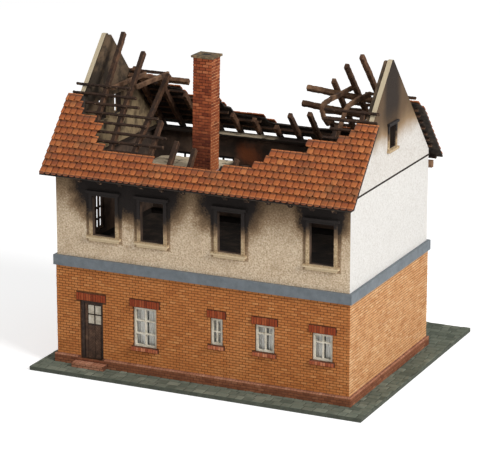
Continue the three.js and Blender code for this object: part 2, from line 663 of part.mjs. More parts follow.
add(frontSlope, "roof_frame_front_right", roofFrame(false, FRONT_TIMBER), charred);
add(backSlope, "roof_frame_back_left", roofFrame(true, BACK_TIMBER), charred);
add(backSlope, "roof_frame_back_right", roofFrame(false, BACK_TIMBER), charred);

// Purlins under the back rafters; each slopes a little where it has sagged.
function purlin(x0, s0, x1, s1) {
  const length = Math.hypot(x1 - x0, s1 - s0);
  const beam = block(0, length, -PURLIN.wide / 2, PURLIN.wide / 2, -PURLIN.deep, 0);
  return beam.rotateZ(Math.atan2(s1 - s0, x1 - x0)).translate(x0, s0, rafterBottom - 2 * FIT);
}
const purlinHeight = slopePlace(-29.74);
const purlinPieces = {
  purlin_left: [acrossRoof(32.5), purlinHeight, liningIn - FIT, purlinHeight],
  purlin_right_upper: [acrossRoof(-53), slopePlace(-30.54), acrossRoof(-22.4), slopePlace(-25.44)],
  purlin_right_lower: [acrossRoof(-45), slopePlace(-41.74), acrossRoof(-16.8), slopePlace(-36.94)],
};
for (const [name, ends] of Object.entries(purlinPieces)) add(backSlope, name, purlin(...ends), charred);

// Collar ties on the right of two front rafters, broken off short of the back slope.
const collarHeight = ridgeHeight - COLLAR.drop;
function collar(index, sag, short) {
  const [end, lean] = FRONT_RAFTERS[index];
  const low = collarHeight - sag - COLLAR.deep / 2;
  const leanHere = lean > 0 ? lean : (lean * (low - eaveHeight)) / Math.sin(pitch) / slopePlace(end);
  const x0 = frontRafterX(index) + leanHere + RAFTER.wide / 2 + COLLAR.clear;
  const y0 = -slopeY(-lathTop + LATH.deep + COLLAR.clear, low + COLLAR.deep);
  const y1 = slopeY(-rafterBottom, low + COLLAR.deep) - short;
  return block(x0, x0 + COLLAR.wide, y0, y1, low, low + COLLAR.deep);
}
add(roof, "collar_left_outer", collar(0, 2, 1.6), charred);
add(roof, "collar_left_inner", collar(1, 0.8, 0.6), charred);

// Two collars on the left of back rafters, bent down at the broken end: shares of the reach, and drops.
const collarReach = (ridgeHeight - collarHeight) / ROOF.rise;
const BENT_INNER = [[0.8, -0.1], [0, 0.1], [-0.45, 0.3], [-0.7, 1.1], [-0.67, 4.9], [-0.38, 9.9]];
const BENT_OUTER = [[0.65, 0.9], [-0.25, 0.7], [-0.6, 1.9], [-0.8, 5.9], [-1, 9.9], [-1.15, 12.7]];
function bentCollar(name, index, shape) {
  const points = shape.map(([share, drop]) => [0, share * collarReach, collarHeight - drop]);
  const mesh = add(roof, name, bentBeam(points, COLLAR.wide, COLLAR.deep, 22), charred);
  mesh.position.x = backRafterX(index) - RAFTER.wide / 2 - COLLAR.wide / 2 - COLLAR.bentClear;
}
bentCollar("bent_collar_inner", 11, BENT_INNER);
bentCollar("bent_collar_outer", 12, BENT_OUTER);

// Timber under the back eave, outside the wall and below the rafters, with its end showing at the corner.
const beamOut = plasterHalfDepth + EAVES_BEAM.wide;
const rafterUnderside = ridgeHeight - beamOut * ROOF.rise + rafterBottom / Math.cos(pitch);
const beamTop = rafterUnderside - 2 * FIT;
add(house, "eaves_beam_back", block(
  -halfWidth + EAVES_BEAM.end, halfWidth + EAVES_BEAM.end, plasterHalfDepth + GLUE, beamOut,
  beamTop - EAVES_BEAM.deep, beamTop,
), charred);

// ---------------------------------------------------------------- roof unit: chimney
// The stack stands on the attic floor and leans a little, turned about its lower right edge.
const stack = new THREE.Group();
stack.position.set(acrossRoof(-6.2) + CHIMNEY.wide / 2, acrossFloor(-23.2), deckTop + GLUE);
stack.rotation.y = CHIMNEY.lean;
roof.add(stack);
add(stack, "chimney_stack", block(
  -CHIMNEY.wide, 0, -CHIMNEY.deep / 2, CHIMNEY.deep / 2, 0, CHIMNEY.height,
), chimneyBrick);
add(stack, "chimney_cap", block(
  -CHIMNEY.wide - CAP.lap, CAP.lap, -CHIMNEY.deep / 2 - CAP.lap, CHIMNEY.deep / 2 + CAP.lap,
  CHIMNEY.height + GLUE, CHIMNEY.height + CAP.thick,
), capStone);

export default object;
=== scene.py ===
"""A burnt-out two-storey house for a miniature landscape, built round its CAD frame.

Lengths are in millimetres until an object is made, and in the frame's own axes: +Z is up and
the front of the house faces -Y.
"""
import itertools
import math
import random

import bpy
from mathutils import Matrix, Vector, noise
from mathutils.bvhtree import BVHTree


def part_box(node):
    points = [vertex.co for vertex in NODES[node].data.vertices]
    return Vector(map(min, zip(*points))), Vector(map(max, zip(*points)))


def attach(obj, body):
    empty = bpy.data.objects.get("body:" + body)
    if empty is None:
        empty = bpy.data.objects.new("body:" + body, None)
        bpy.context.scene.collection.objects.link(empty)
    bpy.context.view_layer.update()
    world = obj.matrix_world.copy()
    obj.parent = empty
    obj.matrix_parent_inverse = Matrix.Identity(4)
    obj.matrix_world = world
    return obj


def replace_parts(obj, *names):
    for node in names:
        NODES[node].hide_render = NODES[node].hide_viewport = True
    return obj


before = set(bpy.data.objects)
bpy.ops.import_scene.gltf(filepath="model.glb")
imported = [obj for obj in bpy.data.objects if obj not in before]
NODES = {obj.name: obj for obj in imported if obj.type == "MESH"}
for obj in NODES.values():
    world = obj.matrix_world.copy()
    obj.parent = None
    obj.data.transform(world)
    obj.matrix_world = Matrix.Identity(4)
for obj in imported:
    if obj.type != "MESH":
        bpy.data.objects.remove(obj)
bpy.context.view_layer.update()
HOUSE = "house"
ROOF = "roof_unit"
METRE = 1000.0
X = Vector((1, 0, 0))
Y = Vector((0, 1, 0))
Z = Vector((0, 0, 1))

# ---- driving sizes, in millimetres
COURSE = 1.115  # brick course height
BRICK_LENGTH = 2.8
JOINT = 0.24
BRICK_PROUD = 0.16
SOLDIER = 1.12  # width of a brick on edge in a lintel or sill
TILE_WIDTH = 2.75
TILE_ROW = 3.05
EAVE_ROW = 0.8  # the eave row is this much longer
STONE = 3.9
STONE_EDGE = 0.14  # each paving stone stops this far short of its place
STONE_TAPER = 0.14  # and its top is this much smaller than its foot
LEDGE_BRICK = 1.35  # width of a brick in the plinth's sloping top row
LEDGE_HEIGHT = 0.55
BOARD_DROP = 0.85  # the roof boards lie this far under the CAD sheet's face
LATHS = (-2.75, -2.5)  # below the CAD sheet's face: where the rafters end and the laths begin
LIT_PATCH = (-16.0, -7.5)  # the painted pool of orange light inside the back wall, from its middle and from its top
CASEMENT_RAIL = 1.1
CASEMENT_FOOT = 0.9
CASEMENT_STILE = 0.8
CURTAIN_STEPS = 26
WAVE = 6.28  # one fold of a curtain, as an angle


# ---- measuring the frame
def box(*names):
    """Lowest and highest corner of some CAD nodes together, in millimetres."""
    lows, highs = zip(*(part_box(name) for name in names))
    low = Vector([min(corner[i] for corner in lows) for i in range(3)])
    high = Vector([max(corner[i] for corner in highs) for i in range(3)])
    return low * METRE, high * METRE


class Face:
    """A flat face of the object: an origin, and directions along it, up it and out of it."""

    def __init__(self, origin, along, up):
        self.origin = Vector(origin)
        self.along = Vector(along).normalized()
        self.up = Vector(up).normalized()
        self.out = self.along.cross(self.up)

    def point(self, u, v, w=0.0):
        return self.origin + self.along * u + self.up * v + self.out * w

    def measure(self, point):
        offset = Vector(point) - self.origin
        return offset.dot(self.along), offset.dot(self.up), offset.dot(self.out)

    def span(self, name):
        """The rectangle (u0, u1, v0, v1) that a CAD node covers on this face."""
        low, high = box(name)
        corners = [self.measure(corner) for corner in itertools.product(*zip(low, high))]
        us = [c[0] for c in corners]
        vs = [c[1] for c in corners]
        return min(us), max(us), min(vs), max(vs)


def side_faces(low, high):
    """A box's four upright sides: each one's face, with its origin at the lower left, and its length."""
    width = high.x - low.x
    depth = high.y - low.y
    return {
        "front": (Face(low, X, Z), width),
        "right": (Face((high.x, low.y, low.z), Y, Z), depth),
        "back": (Face((high.x, high.y, low.z), -X, Z), width),
        "left": (Face((low.x, high.y, low.z), -Y, Z), depth),
    }


def brick_wall_sides():
    """The outer sides of the brick storey."""
    return side_faces(*box(*(f"brick_wall_{side}" for side in ("front", "back", "left", "right"))))


def mesh_tree(name):
    """A CAD node's mesh, in millimetres, for casting rays at."""
    mesh = NODES[name].data
    return BVHTree.FromPolygons([v.co * METRE for v in mesh.vertices], [p.vertices for p in mesh.polygons])


def slope_face(name):
    """The plane of a tiled slope: its origin is on the eave line at x = the house's middle."""
    mesh = NODES[name].data
    top = max((p for p in mesh.polygons if p.normal.z > 0.3), key=lambda p: p.area)
    out = top.normal.copy()
    along = X.copy() if out.y < 0 else -X
    up = out.cross(along)
    corner = mesh.vertices[top.vertices[0]].co * METRE
    offsets = [v.co * METRE - corner for v in mesh.vertices]
    heights = [offset.dot(up) for offset in offsets if abs(offset.dot(out)) < 0.01]
    low, high = box("plaster_wall_front")
    middle = corner + up * min(heights)
    middle = middle + X * ((low.x + high.x) / 2 - middle.x)
    return Face(middle, along, up)


# ---- mesh code
class Pieces:
    """Collects closed shapes, in millimetres, that become one object."""

    def __init__(self):
        self.points = []
        self.faces = []

    def loft(self, *loops):
        """A closed shape through loops of points, from its underside to its top, each anticlockwise."""
        first = len(self.points)
        n = len(loops[0])
        for loop in loops:
            self.points += [tuple(p) for p in loop]
        for low in range(first, first + (len(loops) - 1) * n, n):
            for i in range(n):
                after = (i + 1) % n
                self.faces.append((low + i, low + after, low + n + after, low + n + i))
        self.faces.append(tuple(first + (len(loops) - 1) * n + i for i in range(n)))
        self.faces.append(tuple(first + n - 1 - i for i in range(n)))

    def brick(self, face, u0, u1, v0, v1, low, high, bevel):
        """A block on a face from height low to height high, with its outer edges bevelled."""
        b = min(bevel, (u1 - u0) * 0.4, (v1 - v0) * 0.4)

        def loop(inset, height):
            a0, a1, b0, b1 = u0 + inset, u1 - inset, v0 + inset, v1 - inset
            return [face.point(u, v, height) for u, v in ((a0, b0), (a1, b0), (a1, b1), (a0, b1))]

        self.loft(loop(0.0, low), loop(0.0, high - b), loop(b, high))

    def make(self, name, body, slot, material):
        mesh = bpy.data.meshes.new(name)
        mesh.from_pydata([tuple(c / METRE for c in p) for p in self.points], [], self.faces)
        mesh.update()
        return place(name, mesh, body, slot, material)


def linked(name, data):
    """A new object in the scene."""
    made = bpy.data.objects.new(name, data)
    bpy.context.scene.collection.objects.link(made)
    return made


def place(name, mesh, body, slot, material):
    """Puts a mesh in the scene as a piece that rides on a body."""
    piece = linked(name, mesh)
    mesh.materials.clear()
    mesh.materials.append(material)
    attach(piece, body)
    return piece


def finish_node(name, material, edge=0.0):
    """Gives a CAD node that stays visible its material, and rounds its edges a little."""
    node = NODES[name]
    node.data.materials.clear()
    node.data.materials.append(material)
    if edge:
        bevel = node.modifiers.new("edge", "BEVEL")
        bevel.width = edge / METRE
        bevel.segments = 2
        bevel.limit_method = "ANGLE"
        bevel.angle_limit = math.radians(40)


# ---- material code
def linear(colour):
    """A colour as it is seen, from 0 to 255, as a shader's linear values. Sockets stay as they are."""
    if isinstance(colour, bpy.types.NodeSocket):
        return colour
    shares = [c / 255 for c in colour]
    return [c / 12.92 if c <= 0.04045 else ((c + 0.055) / 1.055) ** 2.4 for c in shares] + [1.0]


def feed(tree, socket, value):
    """Joins a node's output to a socket, or sets the socket to a plain value."""
    if isinstance(value, bpy.types.NodeSocket):
        tree.links.new(value, socket)
    else:
        socket.default_value = value


def add_node(tree, kind, inputs=(), **settings):
    made = tree.nodes.new(kind)
    for key, value in settings.items():
        setattr(made, key, value)
    for key, value in dict(inputs).items():
        feed(tree, made.inputs[key], value)
    return made


class Shader:
    """A node tree that is written as a chain of calls. Sockets and numbers mix freely."""

    def __init__(self, name, roughness, specular=0.3):
        self.material = bpy.data.materials.new(name)
        self.material.use_nodes = True
        self.tree = self.material.node_tree
        self.surface = self.tree.nodes["Principled BSDF"]
        self.surface.inputs["Roughness"].default_value = roughness
        self.surface.inputs["Specular IOR Level"].default_value = specular
        self._coordinates = None

    def node(self, kind, inputs=(), **settings):
        return add_node(self.tree, kind, inputs, **settings)

    @property
    def position(self):
        """The point in the frame's own axes, in millimetres."""
        if self._coordinates is None:
            source = self.node("ShaderNodeTexCoord").outputs["Object"]
            values = {0: source, 1: (METRE, METRE, METRE)}
            scaled = self.node("ShaderNodeVectorMath", values, operation="MULTIPLY")
            self._coordinates = scaled.outputs[0]
        return self._coordinates

    @property
    def axes(self):
        return tuple(self.node("ShaderNodeSeparateXYZ", {0: self.position}).outputs)

    @property
    def island(self):
        """A random number from 0 to 1 for each separate block of the mesh."""
        return self.node("ShaderNodeNewGeometry").outputs["Random Per Island"]

    def facing(self, direction):
        """1 on faces whose normal is along the direction, 0 on the others."""
        source = self.node("ShaderNodeNewGeometry").outputs["True Normal"]
        spaces = {"vector_type": "NORMAL", "convert_from": "WORLD", "convert_to": "OBJECT"}
        normal = self.node("ShaderNodeVectorTransform", {0: source}, **spaces).outputs[0]
        return self.math("GREATER_THAN", self.dot(normal, direction), 0.5)

    def dot(self, vector, direction):
        inputs = {0: vector, 1: tuple(direction)}
        return self.node("ShaderNodeVectorMath", inputs, operation="DOT_PRODUCT").outputs["Value"]

    def math(self, operation, a, b=0.0):
        return self.node("ShaderNodeMath", {0: a, 1: b}, operation=operation).outputs[0]

    def apart(self, a, b):
        """How far apart two values are."""
        return self.math("ABSOLUTE", self.math("SUBTRACT", a, b))

    def add(self, a, b):
        return self.math("ADD", a, b)

    def multiply(self, a, b):
        return self.math("MULTIPLY", a, b)

    def smooth(self, value, low, high, most=1.0, least=0.0):
        """A smooth step, from least at low to most at high; low may be above high for a falling step."""
        if low > high:
            low, high, least, most = high, low, most, least
        made = self.node("ShaderNodeMapRange", {0: value, 1: low, 2: high, 3: least, 4: most})
        made.interpolation_type = "SMOOTHSTEP"
        return made.outputs[0]

    def within(self, low, high):
        """1 where the point is inside a box's outline in plan, 0 outside it."""
        x, y = self.axes[:2]
        spans = []
        for value, near, far in ((x, low.x, high.x), (y, low.y, high.y)):
            spans.append(self.math("LESS_THAN", self.apart(value, (near + far) / 2), (far - near) / 2))
        return self.multiply(*spans)

    def noise(self, scale, detail=3.0, rough=0.6, stretch=None):
        """Noise whose features are about 1/scale millimetres across."""
        where = self.position
        if stretch is not None:
            values = {0: where, 1: stretch}
            where = self.node("ShaderNodeVectorMath", values, operation="MULTIPLY").outputs[0]
        inputs = {"Vector": where, "Scale": scale, "Detail": detail, "Roughness": rough}
        return self.node("ShaderNodeTexNoise", inputs).outputs[0]

    def waver(self, *settings):
        """Noise that is as often below 0 as above it."""
        return self.math("SUBTRACT", self.noise(*settings), 0.5)

    def mix(self, amount, a, b):
        """From colour a to colour b."""
        inputs = {0: amount, 6: linear(a), 7: linear(b)}
        return self.node("ShaderNodeMix", inputs, data_type="RGBA").outputs[2]

    def lay(self, new, colour, *step):
        """A new colour over another where a value makes a smooth step."""
        return self.mix(self.smooth(*step), colour, new)

    def pick(self, value, *stops):
        """A colour ramp; each stop is (place, colour)."""
        made = self.node("ShaderNodeValToRGB", {0: value})
        ramp = made.color_ramp
        while len(ramp.elements) < len(stops):
            ramp.elements.new(0.5)
        for element, (where, colour) in zip(ramp.elements, stops):
            element.position = where
            element.color = linear(colour)
        return made.outputs[0]

    def done(self, colour, height=None, relief=0.0):
        """The finished material, with relief of so many millimetres where a height is given."""
        if height is not None:
            inputs = {"Height": height, "Distance": relief / METRE, "Strength": 1.0}
            bump = self.node("ShaderNodeBump", inputs)
            feed(self.tree, self.surface.inputs["Normal"], bump.outputs[0])
        feed(self.tree, self.surface.inputs["Base Color"], colour)
        return self.material


SOOT = (30, 27, 25)


def spotted(name, dark, middle, light, scale=1.2, roughness=0.85):
    """A matt surface with three mixed tones and a fine grain."""
    s = Shader(name, roughness)
    tone = s.noise(scale * 0.35, 4.0, 0.65)
    colour = s.pick(tone, (0.3, dark), (0.5, middle), (0.7, light))
    fine = s.noise(6.0, 2.0)
    colour = s.lay(dark, colour, fine, 0.35, 0.75, 0.35)
    return s.done(colour, fine, 0.05)


def brickwork(name, dark, middle, light, roughness=0.85):
    """Bricks that each have their own tone, with mottling and a fine grain."""
    s = Shader(name, roughness)
    colour = s.pick(s.island, (0.0, dark), (0.35, middle), (0.8, middle), (1.0, light))
    blotch = s.noise(0.16, 4.0, 0.7)
    colour = s.lay(dark, colour, blotch, 0.42, 0.68, 0.45)
    colour = s.lay(light, colour, s.noise(0.11, 3.0), 0.5, 0.72, 0.5)
    grain = s.noise(5.0, 2.0)
    colour = s.lay(dark, colour, grain, 0.5, 0.8, 0.3)
    return s.done(colour, grain, 0.05)


# ---- bricks
def cut_spans(u0, u1, v0, v1, holes):
    """The parts of one brick's length that lie clear of the holes."""
    spans = [(u0, u1)]
    for hu0, hu1, hv0, hv1 in holes:
        if v1 <= hv0 + 0.05 or v0 >= hv1 - 0.05:
            continue
        left = [(a, min(b, hu0)) for a, b in spans if a < hu0]
        right = [(max(a, hu1), b) for a, b in spans if b > hu1]
        spans = left + right
    return [(a, b) for a, b in spans if b - a > 0.45]


def brick_courses(
    pieces, face, length, v0, v1, holes, rng, course=COURSE, brick=BRICK_LENGTH, proud=BRICK_PROUD,
):
    """Courses of bricks over a face, each brick a little different."""
    count = round((v1 - v0) / course)
    step = (v1 - v0) / count
    for row in range(count):
        low = v0 + row * step
        u = -brick * (0.5 if row % 2 else 0.0)
        while u < length:
            near = max(u, 0.0)
            far = min(u + brick, length)
            for a, b in cut_spans(near, far, low, low + step, holes):
                ends = (a + JOINT / 2 if a > 0.0 else a, b - JOINT / 2 if b < length else b)
                out = proud * rng.uniform(0.55, 1.2)
                pieces.brick(
                    face, ends[0], ends[1], low + JOINT / 2, low + step - JOINT / 2, -0.05, out, 0.07,
                )
            u += brick


def soldier_row(pieces, face, u0, u1, v0, v1, out, rng, width=SOLDIER):
    """A row of bricks standing on edge."""
    count = max(2, round((u1 - u0) / width))
    step = (u1 - u0) / count
    for i in range(count):
        jump = rng.uniform(-0.06, 0.1)
        pieces.brick(
            face, u0 + i * step + JOINT * 0.4, u0 + (i + 1) * step - JOINT * 0.4,
            v0 - jump * 0.5, v1 + jump, -0.02, out * rng.uniform(0.7, 1.15), 0.08,
        )


def grown(rectangles):
    """Rectangles with a narrow margin all round, so that no brick touches what is set in them."""
    margin = 0.1
    return [(a - margin, b + margin, c - margin, d + margin) for a, b, c, d in rectangles]


def build_brick_walls():
    sides = brick_wall_sides()
    low, high = box("brick_wall_front")
    plinth_top = box("plinth")[1].z - low.z
    top = high.z - low.z
    set_in = [f"window_{part}_{i}" for part in ("frame", "lintel", "sill") for i in range(1, 5)]
    set_in += ["door_frame", "door_lintel"]
    holes = {
        "front": grown(sides["front"][0].span(name) for name in set_in),
        "back": grown([sides["back"][0].span("back_window_frame")]),
    }
    brick = brickwork("brick", (174, 104, 52), (194, 122, 64), (206, 140, 82))
    # painted light: a paler copy of the brick for the right wall, the side the light comes from
    pale = brickwork("brick_painted_light", (192, 134, 84), (214, 162, 112), (226, 182, 136))
    mortar = spotted("mortar", (78, 44, 22), (98, 60, 32), (118, 76, 44))
    rng = random.Random(11)
    for side, (face, length) in sides.items():
        pieces = Pieces()
        brick_courses(pieces, face, length, plinth_top + 0.1, top, holes.get(side, []), rng)
        # the right wall takes the painted-light copy of the brick
        pieces.make(f"bricks_{side}", HOUSE, "brick", pale if side == "right" else brick)
        finish_node(f"brick_wall_{side}", mortar)


def build_plinth():
    low, high = box("plinth")
    door_low, door_high = box("door_frame")
    brick = brickwork("plinth_brick", (112, 64, 42), (138, 84, 56), (160, 106, 76))
    ledge = brickwork("plinth_ledge", (150, 98, 72), (174, 120, 92), (192, 140, 112))
    mortar = spotted("plinth_mortar", (84, 50, 34), (102, 64, 46), (120, 78, 58))
    finish_node("plinth", mortar)
    rng = random.Random(5)
    courses = Pieces()
    top_row = Pieces()
    shoulder = high.z - low.z - LEDGE_HEIGHT
    proud = box("brick_wall_front")[0].y - low.y
    for side, (face, length) in side_faces(low, high).items():
        holes = []
        if side == "front":
            step = face.span("door_step")
            holes = [(step[0], step[1], 0.0, step[3] - 0.3)]
        brick_courses(courses, face, length, 0.0, shoulder, holes, rng, brick=2.6, proud=0.12)
        count = round(length / LEDGE_BRICK)
        wide = length / count
        for i in range(count):
            u0 = i * wide + 0.07
            u1 = (i + 1) * wide - 0.07
            if side == "front" and u1 > door_low.x - low.x and u0 < door_high.x - low.x:
                continue
            a0, a1 = max(u0, 0.1), min(u1, length - 0.1)
            mitre0, mitre1 = max(a0, proud), min(a1, length - proud)
            if mitre1 - mitre0 < 0.2:
                continue
            rise = rng.uniform(0.0, 0.06)
            ridge = shoulder + 0.62 + rise
            lip = shoulder + 0.3 + rise
            base = [
                face.point(a0, shoulder, -proud), face.point(a0, shoulder, 0.12),
                face.point(a1, shoulder, 0.12), face.point(a1, shoulder, -proud),
            ]
            crown = [
                face.point(mitre0, ridge, -proud), face.point(a0 + 0.05, lip, 0.05),
                face.point(a1 - 0.05, lip, 0.05), face.point(mitre1, ridge, -proud),
            ]
            top_row.loft(base, crown)
    courses.make("plinth_bricks", HOUSE, "plinth_brick", brick)
    top_row.make("plinth_ledge", HOUSE, "plinth_brick", ledge)

    step_low, step_high = box("door_step")
    steps = Pieces()
    face = Face((step_low.x, step_low.y, step_high.z), X, Y)
    soldier_row(steps, face, 0, step_high.x - step_low.x, 0.0, step_high.y - step_low.y, 0.12, rng, 1.5)
    face = Face(step_low, X, Z)
    step = step_high - step_low
    brick_courses(steps, face, step.x, 0.0, step.z, [], rng, brick=2.6, proud=0.1)
    steps.make("step_bricks", HOUSE, "plinth_brick", ledge)
    finish_node("door_step", mortar)


def build_lintels_and_sills():
    front = brick_wall_sides()["front"][0]
    dark = brickwork("dark_brick", (104, 40, 18), (144, 62, 30), (170, 88, 50))
    mortar = spotted("dark_mortar", (60, 26, 20), (78, 34, 26), (96, 48, 38))
    rng = random.Random(23)
    pale = brickwork("sill_brick", (128, 58, 34), (174, 94, 60), (208, 138, 100))
    sill_mortar = spotted("sill_mortar", (86, 44, 32), (112, 62, 46), (140, 84, 64))

    def row_on(name, proud, brick, joint):
        """A row of bricks on edge over a lintel or sill."""
        pieces = Pieces()
        u0, u1, v0, v1 = front.span(name)
        face = Face(front.point(0, 0, front.origin.y - box(name)[0].y), X, Z)
        soldier_row(pieces, face, u0, u1, v0, v1, proud, rng)
        pieces.make(f"{name}_bricks", HOUSE, "dark_brick", brick)
        finish_node(name, joint)

    for name in ["door_lintel"] + [f"window_lintel_{i}" for i in range(1, 5)]:
        row_on(name, 0.16, dark, mortar)
    for i in range(1, 5):
        row_on(f"window_sill_{i}", 0.14, pale, sill_mortar)


# ---- base
def build_paving():
    """Paving of uneven cut stones in rows, over the base plate."""
    low, high = box("base_plate")
    stone = brickwork("paving_stone", (84, 90, 78), (108, 114, 100), (134, 138, 122), 0.95)
    bed = spotted("paving_bed", (62, 66, 56), (76, 80, 70), (90, 94, 82))
    finish_node("base_plate", bed)
    face = Face((low.x, low.y, high.z), X, Y)
    rng = random.Random(3)
    wall_low, wall_high = box("brick_wall_front", "brick_wall_back")
    under_low = wall_low - low
    under_high = wall_high - low
    pieces = Pieces()
    depth = high.y - low.y
    length = high.x - low.x
    rows = round(depth / STONE)
    step = depth / rows
    for row in range(rows):
        v0 = row * step
        u = -rng.uniform(0.0, STONE)
        while u < length:
            wide = STONE * rng.uniform(0.75, 1.5)
            a = max(u, 0.0) + STONE_EDGE
            b = min(u + wide, length) - STONE_EDGE
            u += wide
            if b - a < 0.6:
                continue
            hidden_along = a > under_low.x + 1 and b < under_high.x - 1
            if hidden_along and v0 > under_low.y + 1 and v0 + step < under_high.y - 1:
                continue
            height = rng.uniform(0.05, 0.3)
            near, far = v0 + STONE_EDGE, v0 + step - STONE_EDGE
            corners = [(a, near), (b, near), (b, far), (a, far)]
            jog = [(p + rng.uniform(-0.12, 0.12), q + rng.uniform(-0.12, 0.12)) for p, q in corners]
            jog = [(min(max(p, 0.0), length), min(max(q, 0.0), depth)) for p, q in jog]
            base = [face.point(p, q, -0.02) for p, q in jog]
            mid_u, mid_v = (a + b) / 2, v0 + step / 2
            top = []
            for p, q in jog:
                p += (mid_u - p) * STONE_TAPER
                q += (mid_v - q) * STONE_TAPER
                top.append(face.point(p, q, height + rng.uniform(-0.05, 0.05)))
            pieces.loft(base, top)
    pieces.make("paving_stones", HOUSE, "paving", stone)


# ---- stage, light and camera
CAMERA_PLACE = Vector((400.30, -867.09, 323.47)) / METRE
CAMERA_AZIMUTH = math.radians(24.918)
CAMERA_ELEVATION = math.radians(15.704)
CAMERA_ROLL = math.radians(0.053)
CAMERA_LENS = 172.2
FLOOR_HALF = 12.0  # metres
FLOOR_DROP = -0.0002
FLOOR_GLOW = 0.55
WORLD_LIGHT = 0.36
LAMP_AIM = Vector((0.0, 0.0, 0.05))


def build_camera():
    camera = linked("camera", bpy.data.cameras.new("camera"))
    bpy.context.scene.camera = camera
    camera.data.sensor_width = 36.0
    camera.data.lens = CAMERA_LENS
    camera.data.clip_start = 0.01
    camera.data.clip_end = 100.0
    back = Vector((
        math.sin(CAMERA_AZIMUTH) * math.cos(CAMERA_ELEVATION),
        -math.cos(CAMERA_AZIMUTH) * math.cos(CAMERA_ELEVATION),
        math.sin(CAMERA_ELEVATION),
    ))
    turn = (-back).to_track_quat("-Z", "Y").to_matrix() @ Matrix.Rotation(CAMERA_ROLL, 3, "Z")
    camera.matrix_world = Matrix.Translation(CAMERA_PLACE) @ turn.to_4x4()


def seen_share(tree, low, high):
    """Low for most rays; high for rays from the camera, off gloss and through glass."""
    path = add_node(tree, "ShaderNodeLightPath").outputs
    share = path["Is Camera Ray"]
    for kind in ("Is Glossy Ray", "Is Transmission Ray"):
        share = add_node(tree, "ShaderNodeMath", {0: share, 1: path[kind]}, operation="MAXIMUM").outputs[0]
    return add_node(tree, "ShaderNodeMapRange", {"Value": share, "To Min": low, "To Max": high}).outputs[0]


def build_floor():
    """White paper that glows a little for the camera and still takes the object's shadow."""
    mesh = bpy.data.meshes.new("floor")
    corners = [(a * FLOOR_HALF, b * FLOOR_HALF, 0) for a, b in ((-1, -1), (1, -1), (1, 1), (-1, 1))]
    mesh.from_pydata(corners, [], [(0, 1, 2, 3)])
    floor = linked("floor", mesh)
    floor.location.z = FLOOR_DROP
    paper = bpy.data.materials.new("floor_white")
    paper.use_nodes = True
    tree = paper.node_tree
    tree.nodes.clear()
    diffuse = add_node(tree, "ShaderNodeBsdfDiffuse", {"Color": (0.9, 0.9, 0.9, 1)}).outputs[0]
    glow = add_node(tree, "ShaderNodeEmission", {"Strength": seen_share(tree, 0.0, FLOOR_GLOW)}).outputs[0]
    both = add_node(tree, "ShaderNodeAddShader", {0: diffuse, 1: glow}).outputs[0]
    add_node(tree, "ShaderNodeOutputMaterial", {"Surface": both})
    mesh.materials.append(paper)


def build_world():
    world = bpy.data.worlds.new("studio")
    bpy.context.scene.world = world
    world.use_nodes = True
    tree = world.node_tree
    background = tree.nodes["Background"]
    background.inputs["Color"].default_value = (1, 1, 1, 1)
    feed(tree, background.inputs["Strength"], seen_share(tree, WORLD_LIGHT, 1.0))


def build_stage():
    bpy.context.scene.view_settings.view_transform = "Standard"
    build_camera()
    build_floor()
    build_world()
    add_lamp("key", (1.1, -0.42, 0.8), 0.5, 14.5)
    add_lamp("fill", (-0.7, -1.0, 0.7), 0.8, 1.6)


def add_lamp(name, where, size, power):
    lamp = bpy.data.lights.new(name, "AREA")
    lamp.size = size
    lamp.energy = power
    holder = linked(name, lamp)
    holder.location = where
    holder.rotation_mode = "QUATERNION"
    holder.rotation_quaternion = (LAMP_AIM - Vector(where)).to_track_quat("-Z", "Y")


# ---- tiled slopes
def tile_shape(pieces, face, u0, u1, low, high, lift, rng):
    """One flat tile with a rounded lower end; its lower end lies on the row below."""
    radius = min(0.95, (u1 - u0) * 0.4)
    arc = [math.radians(a) for a in (180, 210, 240, 270)]
    left = [(u0 + radius + radius * math.cos(a), low + radius + radius * math.sin(a)) for a in arc]
    right = [(u0 + u1 - u, v) for u, v in reversed(left)]
    rim = left + right + [(u1, high + 0.7), (u0, high + 0.7)]
    middle = ((u0 + u1) / 2, (low + high) / 2)
    drop = 0.6 / TILE_ROW
    skew = rng.uniform(-0.03, 0.03)

    def height(u, v):
        hump = 0.16 * (1.0 - ((u - middle[0]) / (u1 - u0) * 2.0) ** 2)
        return lift + 0.2 + hump - drop * (v - low) + skew * (u - middle[0])

    def loop(inset, rise):
        points = []
        for u, v in rim:
            du, dv = middle[0] - u, middle[1] - v
            u += math.copysign(min(inset, abs(du)), du)
            v += math.copysign(min(inset, abs(dv)), dv)
            points.append(face.point(u, v, height(u, v) + rise))
        return points

    pieces.loft(loop(0.0, -0.5), loop(0.0, -0.13), loop(0.13, 0.0), loop(0.5, 0.03))


